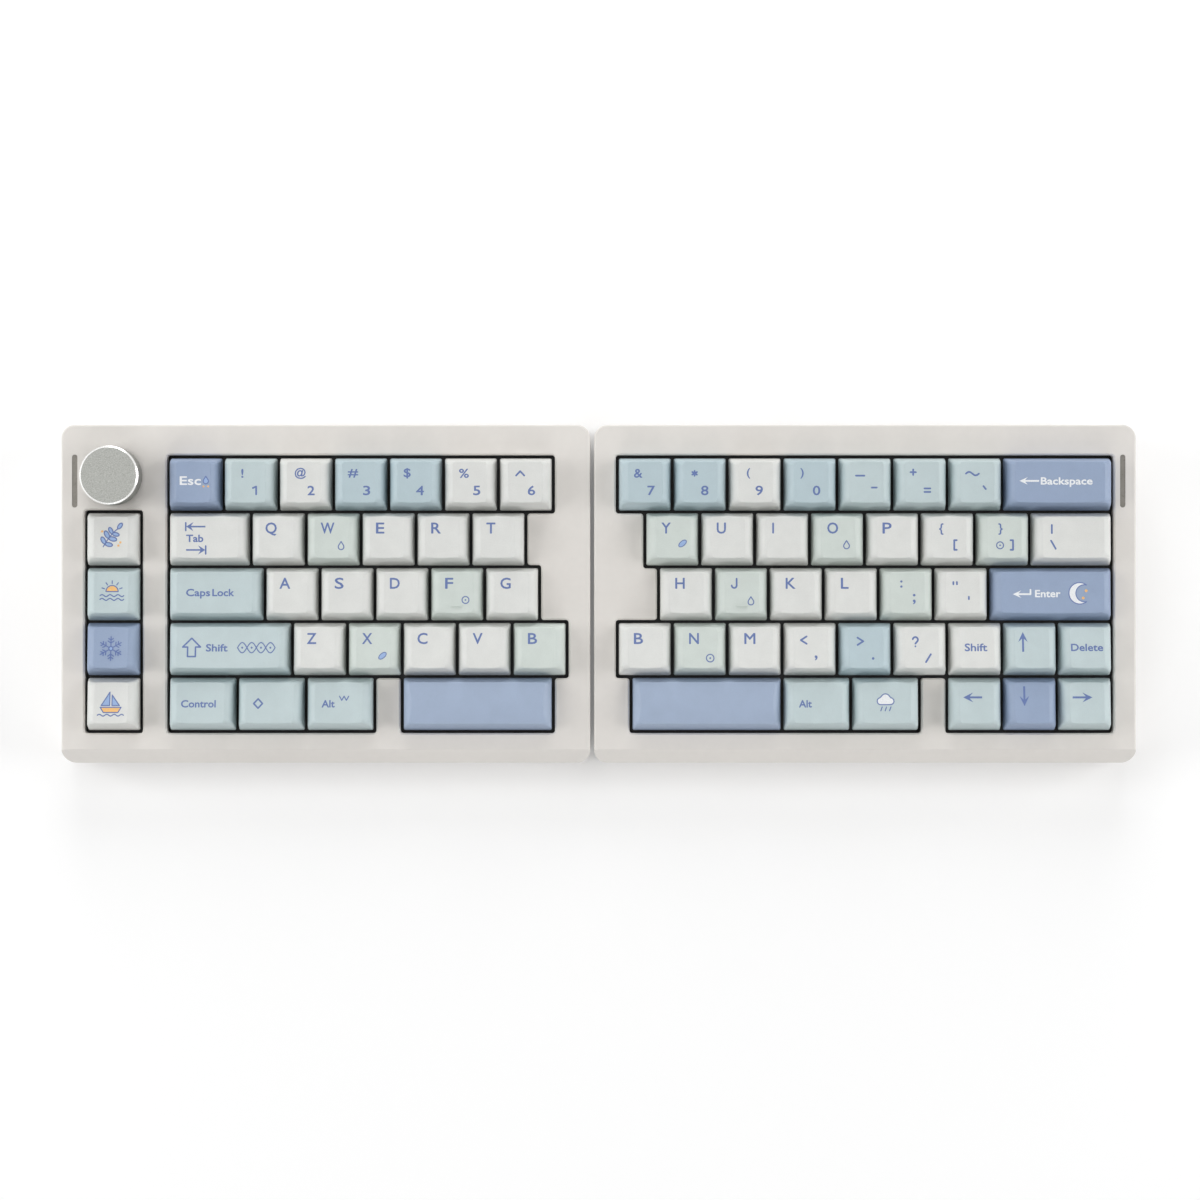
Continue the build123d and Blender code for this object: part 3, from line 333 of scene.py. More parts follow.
def turned_metal(name, colour, roughness, centre, axis):
    """Cut aluminium with fine turning lines."""
    finish = Finish(name, colour, roughness, metallic=1.0)
    lines = finish.rings(centre, axis, TURNING_PITCH)
    finish.roughness(finish.noise(0.8), roughness * 0.85, roughness * 1.2)
    finish.colour(lines, shade(colour, 0.95), colour)
    finish.bump(lines, 0.003)
    return finish.material


def milky_diffuser():
    """Unlit light bar: grey milky plastic, glossier than the case."""
    finish = Finish("light_diffuser", DIFFUSER_GREY, 0.3)
    tone = finish.spread(finish.noise(4.0))
    finish.colour(tone, shade(DIFFUSER_GREY, 0.96), shade(DIFFUSER_GREY, 1.05))
    finish.roughness(finish.noise(1.0), 0.26, 0.36)
    finish.bump(finish.noise(0.4, 3.0), 0.004)
    return finish.material


def moulded(name, colour, roughness, grain=0.3, depth=0.015):
    """Moulded plastic or rubber with a spark-eroded grain."""
    finish = Finish(name, colour, roughness)
    tone = finish.spread(finish.noise(3.0))
    finish.colour(tone, shade(colour, 0.93), shade(colour, 1.07))
    finish.roughness(finish.noise(0.9), roughness * 0.88, roughness * 1.12)
    finish.bump(finish.noise(grain, 3.0), depth)
    return finish.material


def plain_metal(name, colour, roughness):
    """Plain metal with a fine grain."""
    finish = Finish(name, colour, roughness, metallic=1.0)
    grain = finish.noise(0.3, 3.0)
    finish.colour(finish.spread(grain), shade(colour, 0.92), shade(colour, 1.06))
    finish.roughness(grain, roughness * 0.8, roughness * 1.25)
    finish.bump(grain, 0.004)
    return finish.material


def deck_frame():
    """The deck's own frame in millimetres, from the keys' travel and the left switch plate."""
    press = next(joint for joint in frame["joints"] if joint["name"] == "escape_key_press")
    normal = Vector(press["axis"]).normalized()
    across = Vector((1.0, 0.0, 0.0))
    rear = normal.cross(across)
    points = [vertex.co for vertex in frame["nodes"]["left_switch_plate"].data.vertices]
    along = [point.dot(rear) for point in points]
    top = max(point.dot(normal) for point in points)
    origin = rear * (min(along) + max(along)) / 2 + normal * top
    turn = Matrix((across, rear, normal)).transposed().to_4x4()
    return Matrix.Translation(origin) @ turn @ Matrix.Scale(MM, 4)


# The deck's frame, the way into it, and the deck's normal
DECK = deck_frame()
ON_DECK = DECK.inverted()
NORMAL = (DECK.to_3x3() @ Vector((0.0, 0.0, 1.0))).normalized()


class Solid:
    """One of the separate solids in a node: its polygons and its box on the deck."""

    def __init__(self, polygons, low, high):
        self.polygons = polygons
        self.low = low
        self.high = high

    @property
    def centre(self):
        return (self.low + self.high) / 2


def solids_of(name):
    """The separate solids of a CAD node, rear ones first, and left to right in each row."""
    mesh = frame["nodes"][name].data
    welded = {}
    leader = [welded.setdefault(tuple(round(c / WELD) for c in v.co), v.index)
              for v in mesh.vertices]

    def root(index):
        while leader[index] != index:
            leader[index] = leader[leader[index]]
            index = leader[index]
        return index

    for polygon in mesh.polygons:
        first = root(polygon.vertices[0])
        for vertex in polygon.vertices[1:]:
            leader[root(vertex)] = first
    groups = {}
    for polygon in mesh.polygons:
        groups.setdefault(root(polygon.vertices[0]), []).append(polygon)
    solids = []
    for polygons in groups.values():
        points = [ON_DECK @ mesh.vertices[i].co for polygon in polygons for i in polygon.vertices]
        low = Vector(min(point[axis] for point in points) for axis in range(3))
        high = Vector(max(point[axis] for point in points) for axis in range(3))
        solids.append(Solid(polygons, low, high))
    return sorted(solids, key=lambda solid: (-round(solid.centre.y), solid.centre.x))


def dress(name, material):
    """Give a whole CAD node one material."""
    mesh = frame["nodes"][name].data
    mesh.materials.clear()
    mesh.materials.append(material)
    for polygon in mesh.polygons:
        polygon.material_index = 0


def dress_part(name, polygons, material):
    """Give some of a node's polygons a material of their own."""
    mesh = frame["nodes"][name].data
    if material.name not in mesh.materials:
        mesh.materials.append(material)
    index = mesh.materials.find(material.name)
    for polygon in polygons:
        polygon.material_index = index


def font_mesh(body):
    """A line of text as flat vertices and faces, at size 1, in the built-in font."""
    curve = bpy.data.curves.new("legend_text", "FONT")
    curve.body = body
    curve.resolution_u = CURVE_STEPS
    written = put("legend_text", curve)
    bpy.context.view_layer.update()
    mesh = bpy.data.meshes.new_from_object(written)
    points = [(v.co.x, v.co.y) for v in mesh.vertices]
    faces = [tuple(polygon.vertices) for polygon in mesh.polygons]
    bpy.data.objects.remove(written)
    bpy.data.meshes.remove(mesh)
    bpy.data.curves.remove(curve)
    return points, faces


def span(points, axis):
    """Lowest and highest value of points along an axis."""
    values = [point[axis] for point in points]
    return min(values), max(values)


# Where the font's capitals stand and how high they reach
CAPITAL = span(font_mesh("H")[0], 1)


def signed_area(polygon):
    """A polygon's area, above zero where its corners run counter-clockwise."""
    ahead = [*polygon[1:], polygon[0]]
    return sum(ax * by - bx * ay for (ax, ay), (bx, by) in zip(polygon, ahead)) / 2


def joined(polygons, ink):
    """Flat polygons that may overlap, as one mark with a clean net of triangles."""
    corners, faces = [], []
    for polygon in polygons:
        size = signed_area(polygon)
        if abs(size) > LEAST_AREA:
            faces.append(list(range(len(corners), len(corners) + len(polygon))))
            corners += [Vector(point) for point in (polygon if size > 0 else reversed(polygon))]
    places, _, triangles, _, _, origins = delaunay_2d_cdt(corners, [], faces, NET_INSIDE, JOIN)
    inside = [tuple(triangle) for triangle, origin in zip(triangles, origins) if origin]
    return [(ink, [tuple(place) for place in places], inside)]


def oval(x, y, across, along, count, start=0.0, sweep=360.0):
    """Points round an oval or part of one, counter-clockwise from an angle in degrees."""
    steps = count if sweep >= 360.0 else count + 1
    angles = [math.radians(start + sweep * step / count) for step in range(steps)]
    return [(x + across / 2 * math.cos(angle), y + along / 2 * math.sin(angle))
            for angle in angles]


def stroke(start, end, width, steps=ROUND_STEPS):
    """A straight stroke with round ends, as one outline."""
    angle = math.degrees(math.atan2(end[1] - start[1], end[0] - start[0]))
    return (oval(*start, width, width, steps, angle + 90.0, 180.0)
            + oval(*end, width, width, steps, angle - 90.0, 180.0))


def thickened(points, faces, bold, ink):
    """A flat mark made bolder all round its rim."""
    uses = {}
    for face in faces:
        for here, after in zip(face, [*face[1:], face[0]]):
            edge = tuple(sorted((here, after)))
            uses[edge] = uses.get(edge, 0) + 1
    rim = [edge for edge, count in uses.items() if count == 1]
    edging = [stroke(points[a], points[b], 2 * bold, RIM_STEPS) for a, b in rim]
    return joined([[points[i] for i in face] for face in faces] + edging, ink)


def text(body, x, y, height, width, ink="blue", bold=BOLD):
    """Text of a width, from x to the right, whose capitals have a height and y at their middle."""
    points, faces = font_mesh(body)
    scale = (height - 2 * bold) / (CAPITAL[1] - CAPITAL[0])
    left, right = span(points, 0)
    stretch = (width - 2 * bold) / (right - left)
    middle = (CAPITAL[0] + CAPITAL[1]) / 2
    placed = [(x + bold + (px - left) * stretch, y + (py - middle) * scale) for px, py in points]
    return thickened(placed, faces, bold, ink)


def area(points, ink):
    """A filled outline."""
    return joined([list(points)], ink)


def line(points, width, ink="blue", closed=False):
    """An even line along points, with round ends and corners."""
    runs = list(zip(points, points[1:]))
    if closed:
        runs.append((points[-1], points[0]))
    return joined([stroke(start, end, width) for start, end in runs], ink)


def outlined(points, fill, width=ART_WIDTH):
    """A filled outline with a line round it."""
    return area(points, fill) + line(points, width, closed=True)


def dot(x, y, size, ink="blue"):
    """A filled round dot."""
    return area(oval(x, y, size, size, 16), ink)


def moved(points, x, y):
    """Points moved from about the origin to a place."""
    return [(x + px, y + py) for px, py in points]


def turned(points, x, y, angle):
    """Points turned about the origin by degrees and moved to a place."""
    turn = math.radians(angle)
    return [(x + px * math.cos(turn) - py * math.sin(turn),
             y + px * math.sin(turn) + py * math.cos(turn)) for px, py in points]


def arrow(x, y, length, angle, ink="blue", width=LINE_WIDTH, head=2.5, spread=1.6):
    """A straight arrow with a swept head whose half width is the spread, centred on a place."""
    tip, tail, half = length / 2, -length / 2, width / 2
    neck = tip - head
    notch = neck + head / 3
    shape = [(tail, -half), (notch, -half), (neck, -spread), (tip, 0.0),
             (neck, spread), (notch, half), (tail, half)]
    return area(turned(shape, x, y, angle), ink)


# Signs drawn as strokes, about their own middles
STROKES = {
    "1": [[(-0.6, 0.85), (0.55, 1.35), (0.55, -1.35)]],
    "^": [[(-1.4, -0.75), (0.0, 0.75), (1.4, -0.75)]],
    "*": [[(0.0, 0.85), (0.0, -0.85)], [(-0.8, 0.45), (0.8, -0.45)], [(-0.8, -0.45), (0.8, 0.45)]],
    "_": [[(-1.45, 0.0), (1.45, 0.0)]],
    "-": [[(-0.85, 0.0), (0.85, 0.0)]],
    "+": [[(-0.95, 0.0), (0.95, 0.0)], [(0.0, 0.95), (0.0, -0.95)]],
    "=": [[(-1.0, 0.6), (1.0, 0.6)], [(-1.0, -0.6), (1.0, -0.6)]],
    "`": [[(-0.4, 0.5), (0.4, -0.5)]],
    "|": [[(0.0, 1.4), (0.0, -1.4)]],
    "\\": [[(-0.8, 1.4), (0.8, -1.4)]],
    "/": [[(0.85, 1.35), (-0.85, -1.35)]],
    "<": [[(1.0, 1.25), (-1.0, 0.0), (1.0, -1.25)]],
    ">": [[(-1.0, 1.25), (1.0, 0.0), (-1.0, -1.25)]],
    "'": [[(0.0, 0.4), (0.0, -0.4)]],
    '"': [[(-0.62, 0.4), (-0.62, -0.4)], [(0.62, 0.4), (0.62, -0.4)]],
    "?": [[*oval(0.0, 0.75, 1.8, 1.8, 10, 170.0, -215.0), (0.0, -0.6)],
          [(0.0, -1.54), (0.0, -1.56)]],
    "[": [[(0.5, 1.65), (-0.35, 1.65), (-0.35, -1.65), (0.5, -1.65)]],
    "]": [[(-0.5, 1.65), (0.35, 1.65), (0.35, -1.65), (-0.5, -1.65)]],
}
# Real widths of the letters
WIDTHS = {
    "A": 3.7, "B": 3.2, "C": 3.5, "D": 3.4, "E": 2.9, "F": 2.8, "G": 3.6, "H": 3.3, "K": 3.4,
    "L": 2.7, "M": 3.85, "N": 3.4, "O": 3.8, "P": 3.2, "Q": 3.9, "R": 3.3, "S": 3.1, "T": 3.1,
    "U": 3.2, "V": 3.4, "W": 4.7, "X": 3.4, "Y": 3.2, "Z": 3.2,
}
# Real widths and heights of the signs and digits
BOXES = {
    "!": (0.8, 3.1), "@": (3.9, 3.9), "#": (3.6, 3.0), "$": (2.45, 3.6), "%": (3.4, 3.2),
    "&": (2.9, 3.1), "(": (1.2, 3.65), ")": (1.2, 3.65), "{": (1.5, 4.0), "}": (1.5, 4.0),
    ":": (0.85, 2.55), ";": (1.0, 3.6), ",": (1.0, 1.75), ".": (0.9, 0.9),
    "0": (2.6, 3.35), "2": (2.5, 3.3), "3": (2.5, 3.3), "4": (2.75, 3.3), "5": (2.5, 3.3),
    "6": (2.6, 3.3), "7": (2.6, 3.3), "8": (2.6, 3.35), "9": (2.6, 3.35),
}


def sign(body, x, y):
    """One sign or digit with its own middle at a place."""
    if body in STROKES:
        runs = []
        for points in STROKES[body]:
            placed = moved(points, x, y)
            runs += [stroke(start, end, STROKE_WIDTH) for start, end in zip(placed, placed[1:])]
        return joined(runs, "blue")
    points, faces = font_mesh(body)
    width, height = BOXES[body]
    (left, right), (low, high) = span(points, 0), span(points, 1)
    across = (width - 2 * BOLD) / (right - left)
    along = (height - 2 * BOLD) / (high - low)
    placed = [(x + (px - (left + right) / 2) * across, y + (py - (low + high) / 2) * along)
              for px, py in points]
    return thickened(placed, faces, BOLD, "blue")


def hook(x, y):
    """The letter J, whose hook stands on the line of the other letters."""
    bend = oval(0.0, HOOK_Y, HOOK_SIZE, HOOK_SIZE, 10, 180.0, 180.0)
    return line(moved([*bend, (HOOK_SIZE / 2, STEM_HALF)], x, y), STROKE_WIDTH)


def letter(body):
    """A key's letter, at the upper left of its top."""
    if body == "J":
        return hook(LETTER_X + J_SHIFT, LETTER_Y)
    if body == "I":
        ends = [(I_SHIFT, STEM_HALF), (I_SHIFT, -STEM_HALF)]
        return line(moved(ends, LETTER_X, LETTER_Y), STROKE_WIDTH)
    return text(body, LETTER_X, LETTER_Y, LETTER_HEIGHT, WIDTHS[body])


def pair(shifted, shifted_x, plain, plain_x):
    """A shifted sign at the upper left of a cap and the plain one at its lower right."""
    return sign(shifted, shifted_x, SIGN_Y) + sign(plain, plain_x, DIGIT_Y)


def word(body, width, x, y=WORD_Y, height=WORD_HEIGHT, ink="blue"):
    """A key's name, of a real width."""
    return text(body, x, y, height, width, ink, WORD_BOLD)


def leaf(x, y, length, angle, width=ART_WIDTH):
    """A pale pointed leaf that grows from a place."""
    half = length / 2
    bulge = length * 0.26
    rise = [(half * (1 - math.cos(math.pi * i / 6)), bulge * math.sin(math.pi * i / 6))
            for i in range(7)]
    back = [(px, -py) for px, py in reversed(rise[1:-1])]
    shape = turned([(0.0, 0.0), *rise[1:], *back], x, y, angle)
    return outlined(shape, "pale", width)


def drop(x, y, size, fill=None):
    """A small water drop with its point up, in outline or filled too."""
    round_part = oval(0.0, -size * 0.15, size * 0.7, size * 0.7, 12, 150.0, 240.0)
    shape = moved([*round_part, (0.0, size / 2)], x, y)
    return outlined(shape, fill) if fill else line(shape, ART_WIDTH, closed=True)


def ring(x, y, size):
    """A small ring with a dot in it."""
    return line(oval(x, y, size, size, 20), ART_WIDTH, closed=True) + dot(x, y, size * 0.25)


def zigzag(x, y, length, height, count):
    """A small zigzag line."""
    step = length / count
    points = [(x - length / 2 + i * step, y + height / 2 * (-1) ** i) for i in range(count + 1)]
    return line(points, ART_WIDTH)


def wave(x, y, length, height, periods, phase=0.0, width=ART_WIDTH):
    """A line that rises and falls evenly."""
    count = int(12 * periods)
    points = []
    for i in range(count + 1):
        share = i / count
        angle = 2 * math.pi * (periods * share + phase)
        points.append((x + (share - 0.5) * length, y + height / 2 * math.sin(angle)))
    return line(points, width)


def sprig(x, y):
    """A leafy twig with three berries."""
    stem = []
    for i in range(9):
        share = i / 8
        bow = 0.7 * math.sin(math.pi * share)
        stem.append((x - 2.6 + 5.0 * share, y - 3.4 + 6.2 * share + bow))
    marks = line(stem, ART_WIDTH)
    for i, length in ((1, 2.6), (3, 2.8), (5, 2.4)):
        px, py = stem[i]
        marks += leaf(px, py, length, 118) + leaf(px, py, length, -12)
    marks += leaf(*stem[-1], 2.4, 52)
    for px, py in ((-3.0, 1.9), (3.3, -1.9), (2.6, -3.0)):
        marks += dot(x + px, y + py, 0.8, "orange")
    return marks


def sunrise(x, y):
    """A sun over two waves."""
    sun = oval(x, y + 0.7, 4.2, 4.2, 20, 0.0, 180.0)
    marks = outlined(sun, "orange")
    for angle in (20, 55, 90, 125, 160):
        start, end = (turned([(reach, 0.0)], x, y + 0.7, angle)[0] for reach in (2.8, 3.7))
        marks += line([start, end], ART_WIDTH)
    for i in range(2):
        marks += wave(x, y - 0.7 - 1.3 * i, 8.2, 0.7, 3)
    return marks


def crystal(x, y):
    """A six-armed ice crystal."""
    marks = outlined(oval(x, y, 1.5, 1.5, 6), "pale")
    for arm in range(6):
        angle = 30 + 60 * arm
        marks += line(turned([(0.9, 0.0), (4.1, 0.0)], x, y, angle), ART_WIDTH)
        for reach, barb in ((1.9, 1.0), (2.9, 0.8)):
            for side in (-1, 1):
                tip = (reach + barb * 0.7, side * barb)
                marks += line(turned([(reach, 0.0), tip], x, y, angle), ART_WIDTH)
    return marks


def boat(x, y):
    """A small sailing boat on a wave."""
    hull = [(-3.6, -1.2), (-2.5, -3.0), (2.5, -3.0), (3.6, -1.2)]
    mainsail = [(-0.4, -0.6), (-0.4, 4.0), (-3.3, -0.6)]
    foresail = [(0.4, -0.6), (3.0, -0.6), (0.4, 3.0)]
    marks = []
    for shape, fill in ((hull, "orange"), (mainsail, "pale"), (foresail, "pale")):
        marks += outlined(moved(shape, x, y), fill)
    return marks + wave(x, y - 3.9, 9.0, 0.6, 3.5)


def braid(x, y, length, height):
    """Two crossing waves with a dot in each loop."""
    marks = wave(x, y, length, height, 2) + wave(x, y, length, height, 2, 0.5)
    for i in range(4):
        marks += dot(x + length * (i / 4 - 0.375), y, 0.7)
    return marks


def moon(x, y, size):
    """A crescent moon with two small orange stars."""
    shift, bite = size * 0.22, size * 0.8
    tip_x = (size ** 2 / 4 - bite ** 2 / 4 + shift ** 2) / (2 * shift)
    tip_y = math.sqrt(size ** 2 / 4 - tip_x ** 2)
    wide, narrow = (math.degrees(math.atan2(tip_y, tip_x - at)) for at in (0.0, shift))
    outer = oval(x, y, size, size, 24, wide, 360.0 - 2 * wide)
    inner = oval(x + shift, y, bite, bite, 20, narrow, 360.0 - 2 * narrow)
    marks = outlined([*outer, *reversed(inner[1:-1])], "white", MOON_WIDTH)
    for px, py in ((0.3, 0.12), (0.16, -0.22)):
        marks += dot(x + size * px, y + size * py, size * 0.13, "orange")
    return marks


def cloud(x, y):
    """A cloud with three drops of rain."""
    bumps = [*oval(x + 1.6, y + 0.3, 2.6, 2.4, 8, -90.0, 170.0),
             *oval(x, y + 1.2, 3.2, 3.2, 8, 30.0, 120.0),
             *oval(x - 1.7, y + 0.3, 2.4, 2.4, 8, 100.0, 170.0)]
    marks = outlined(bumps, "white")
    for i in (-1, 0, 1):
        marks += line([(x + 1.5 * i + 0.3, y - 1.7), (x + 1.5 * i - 0.2, y - 3.0)], ART_WIDTH)
    return marks


def up_outline(x, y, across, along):
    """A block arrow that points to the rear, drawn in outline."""
    half, neck = across / 2, across * 0.22
    top, shoulder = along / 2, along * 0.02
    shape = [(0.0, top), (-half, shoulder), (-neck, shoulder), (-neck, -top),
             (neck, -top), (neck, shoulder), (half, shoulder)]
    return line(moved(shape, x, y), LINE_WIDTH, closed=True)


def cursor_arrow(x, y, length, angle):
    """The broad arrow of a cursor key."""
    return arrow(x, y, length, angle, width=0.7, head=3.5, spread=1.7)


def white_arrow(x, y, length):
    """A white arrow to the left."""
    return arrow(x, y, length, 180, "white", WHITE_WIDTH, 2.9, 1.3)


def tab_arrows():
    """Two arrows that run into bars, one each way, with the key's name between."""
    x, length, bar = 9.7, 6.6, 2.7
    marks = []
    for y, side in ((4.25, -1), (-3.8, 1)):
        marks += arrow(x, y, length, 0 if side > 0 else 180)
        end = x + side * (length / 2 + LINE_WIDTH / 4)
        marks += line([(end, y - bar / 2), (end, y + bar / 2)], LINE_WIDTH)
    return marks + word("Tab", 5.9, 6.4, 0.2)


def return_arrow():
    """An arrow to the left whose tail turns to the rear."""
    x, y, length = 10.5, 0.0, 6.4
    tail = x + length / 2 - LINE_WIDTH / 2
    bend = line([(tail, y), (tail, y + 1.5)], WHITE_WIDTH, "white")
    return white_arrow(x, y, length) + bend


# Caps of each node, rear row first and left to right: colour and marks. The numbers are each
# mark's place and sizes, and its angle in degrees.
CAPS = {
    "escape_key": [("periwinkle", word("Esc", 7.3, 4.4, 1.0, 3.0, "white")
                    + drop(13.4, 1.2, 2.6, "pale")
                    + dot(12.6, -1.0, 0.7, "orange") + dot(14.2, -1.0, 0.7, "orange"))],
    "left_number_keys": [
        ("teal", pair("!", 6.9, "1", 11.1)),
        ("white", pair("@", 7.8, "2", 11.5)),
        ("sky", pair("#", 6.9, "3", 11.6)),
        ("sky", pair("$", 6.5, "4", 10.9)),
        ("white", pair("%", 7.0, "5", 11.4)),
        ("white", pair("^", 7.3, "6", 11.2)),
    ],
    "tab_key": [("white", tab_arrows())],
    "left_upper_keys": [
        ("white", letter("Q")),
        ("mint", letter("W") + drop(12.2, -2.3, 2.8)),
        ("white", letter("E")),
        ("white", letter("R")),
        ("white", letter("T")),
    ],
    "caps_lock_key": [("teal", word("Caps", 8.25, 6.3) + word("Lock", 7.55, 15.3))],
    "left_home_keys": [
        ("white", letter("A")),
        ("white", letter("S")),
        ("white", letter("D")),
        ("mint", letter("F") + ring(12.2, -2.0, 2.4)),
        ("white", letter("G")),
    ],
    "left_shift_key": [("teal", up_outline(8.3, 0.7, 6.1, 6.3) + word("Shift", 7.5, 13.2)
                        + braid(30.6, 0.6, 13.0, 3.6))],
    "left_lower_keys": [
        ("white", letter("Z")),
        ("mint", letter("X") + leaf(11.0, -3.2, 3.2, 40, THIN_WIDTH)),
        ("white", letter("C")),
        ("white", letter("V")),
        ("mint", letter("B")),
    ],
    "left_modifier_keys": [
        ("teal", word("Control", 12.0, 4.65, 0.3)),
        ("teal", line([(7.4, 2.0), (5.9, 0.4), (7.4, -1.2), (8.9, 0.4)], LINE_WIDTH, closed=True)),
        ("teal", word("Alt", 4.5, 5.5, 0.3) + zigzag(13.2, 2.2, 3.2, 1.4, 4)),
    ],
    "left_space_bar": [("lavender", [])],
    "macro_keys": [
        ("white", sprig(9.0, 0.7)),
        ("teal", sunrise(9.3, 0.2)),
        ("periwinkle", crystal(9.0, 0.3)),
        ("white", boat(9.0, 0.3)),
    ],
    "right_number_keys": [
        ("sky", pair("&", 6.6, "7", 11.1)),
        ("sky", pair("*", 7.0, "8", 10.5)),
        ("white", pair("(", 6.5, "9", 10.2)),
        ("sky", pair(")", 5.9, "0", 10.9)),
        ("teal", sign("_", 6.85, 2.7) + sign("-", 11.7, -1.4)),
        ("teal", sign("+", 6.05, 3.9) + sign("=", 10.95, -2.3)),
        ("teal", wave(7.4, 3.4, 4.5, 1.2, 1, width=STROKE_WIDTH) + sign("`", 11.6, -1.4)),
    ],
    "backspace_key": [("periwinkle", white_arrow(7.9, 0.9, 6.8)
                       + word("Backspace", 17.8, 11.9, 0.9, ink="white"))],
    "right_upper_keys": [
        ("mint", letter("Y") + leaf(11.2, -2.6, 3.2, 40, THIN_WIDTH)),
        ("white", letter("U")),
        ("white", letter("I")),
        ("mint", letter("O") + drop(11.8, -2.0, 2.8)),
        ("white", letter("P")),
        ("white", sign("{", 6.4, 3.4) + sign("[", 11.2, -2.1)),
        ("mint", sign("}", 7.8, 3.4) + sign("]", 11.7, -2.1) + ring(7.6, -2.2, 2.4)),
    ],
    "backslash_key": [("white", sign("|", 6.4, 3.4) + sign("\\", 6.9, -2.0))],
    "right_home_keys": [
        ("white", letter("H")),
        ("mint", letter("J") + drop(12.2, -2.3, 2.8)),
        ("white", letter("K")),
        ("white", letter("L")),
        ("mint", sign(":", 7.0, 3.5) + sign(";", 11.4, -1.7)),
        ("white", sign('"', 6.5, 3.8) + sign("'", 11.2, -1.3)),
    ],
    "enter_key": [("periwinkle", return_arrow() + word("Enter", 8.8, 15.0, 0.2, ink="white")
                   + moon(30.4, 0.3, 7.4))],
    "right_lower_keys": [
        ("white", letter("B")),
        ("mint", letter("N") + ring(12.4, -3.0, 2.6)),
        ("white", letter("M")),
        ("white", sign("<", 6.6, 3.2) + sign(",", 10.8, -2.9)),
        ("sky", sign(">", 7.1, 2.8) + sign(".", 11.4, -3.1)),
        ("white", sign("?", 7.0, 2.6) + sign("/", 11.4, -3.0)),
        ("white", word("Shift", 7.8, 4.9, 0.7, 2.65)),
        ("teal", word("Delete", 11.1, 3.4, 0.7)),
    ],
    "right_space_bar": [("lavender", [])],
    "right_modifier_keys": [("teal", word("Alt", 4.5, 4.9, 0.3)), ("teal", cloud(11.0, 0.9))],
    "arrow_keys": [
        ("teal", cursor_arrow(6.0, 2.6, 6.8, 90)),
        ("teal", cursor_arrow(7.7, 2.5, 6.6, 180)),
        ("periwinkle", cursor_arrow(6.5, 2.9, 6.8, 270)),
        ("teal", cursor_arrow(7.5, 2.5, 6.9, 0)),
    ],
}

CAP_FINISHES = {name: cap_plastic(f"cap_{name}", tint) for name, tint in CAP_COLOURS.items()}
INKS = {name: dye(f"ink_{name}", tint) for name, tint in INK_COLOURS.items()}
STEM_PLASTIC = moulded("stem_plastic", STEM_BLUE, 0.4)


def print_mark(target, mark, left, middle, surface, lift):
    """Lay one flat mark on a cap's top as a thin closed film, and add it to a mesh."""
    ink, points, faces = mark
    film = bmesh.new()
    used = sorted({i for face in faces for i in face})
    corners = {i: film.verts.new((left + points[i][0], middle + points[i][1], 0.0)) for i in used}
    for face in faces:
        film.faces.new([corners[i] for i in face])
    film.normal_update()
    low, high = span([vertex.co for vertex in film.verts], 0)
    for cut in range(1, math.ceil((high - low) / INK_SLICE)):
        everything = film.verts[:] + film.edges[:] + film.faces[:]
        bmesh.ops.bisect_plane(film, geom=everything, dist=INK_SLACK, plane_no=(1, 0, 0),
                               plane_co=(low + cut * INK_SLICE, 0, 0))
    for vertex in film.verts:
        start = Vector((vertex.co.x, vertex.co.y, ABOVE_ALL))
        hit = surface.ray_cast(start, Vector((0.0, 0.0, -1.0)))[0]
        vertex.co.z = hit.z - INK_DEPTH
    bmesh.ops.recalc_face_normals(film, faces=film.faces[:])
    raised = bmesh.ops.extrude_face_region(film, geom=film.faces[:])["geom"]
    for vertex in raised:
        if isinstance(vertex, bmesh.types.BMVert):
            vertex.co.z += INK_DEPTH + lift
    bmesh.ops.recalc_face_normals(film, faces=film.faces[:])
    index = list(INKS).index(ink)
    for face in film.faces:
        face.material_index = index
    bmesh.ops.transform(film, matrix=DECK, verts=film.verts[:])
    done = built(film, "film")
    target.from_mesh(done)
    bpy.data.meshes.remove(done)


def print_legends(node, caps):
    """The printed marks of one node's caps, as one piece that rides with them."""
    mesh = frame["nodes"][node].data
    points = [ON_DECK @ vertex.co for vertex in mesh.vertices]
    surface = BVHTree.FromPolygons(points, [tuple(polygon.vertices) for polygon in mesh.polygons])
    printed = bmesh.new()
    for cap, (_, marks) in zip(caps, CAPS[node]):
        for layer, mark in enumerate(marks):
            lift = INK_LIFT + layer * INK_STEP
            print_mark(printed, mark, cap.low.x, cap.centre.y, surface, lift)
    legends = built(printed, f"{node}_legends")
    for ink in INKS.values():
        legends.materials.append(ink)
    piece = put(f"{node}_legends", legends)
    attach(piece, node)


def dress_keys():
    """Colour every cap, give the stems below them their own plastic, and print the legends."""
    for node, rows in CAPS.items():
        dress(node, STEM_PLASTIC)
        caps = [solid for solid in solids_of(node) if solid.high.x - solid.low.x > CAP_WIDTH_LEAST]
        for cap, (colour, _) in zip(caps, rows):
            dress_part(node, cap.polygons, CAP_FINISHES[colour])
        if any(marks for _, marks in rows):
            print_legends(node, caps)


def dress_knob():
    """Blasted knob with a bright cut chamfer."""
    knob = solids_of("volume_knob")[0]
    axis_point = DECK @ Vector((knob.centre.x, knob.centre.y, 0.0))
    dress("volume_knob", blasted_metal("knob_aluminium", KNOB_GREY))
    bright = turned_metal("knob_chamfer", CHAMFER_BRIGHT, 0.2, axis_point, NORMAL)
    least, most = CHAMFER_RISE
    rim = []
    for polygon in knob.polygons:
        height = (ON_DECK @ polygon.center).z
        if least < polygon.normal.dot(NORMAL) < most and height > knob.centre.z:
            rim.append(polygon)
    dress_part("volume_knob", rim, bright)


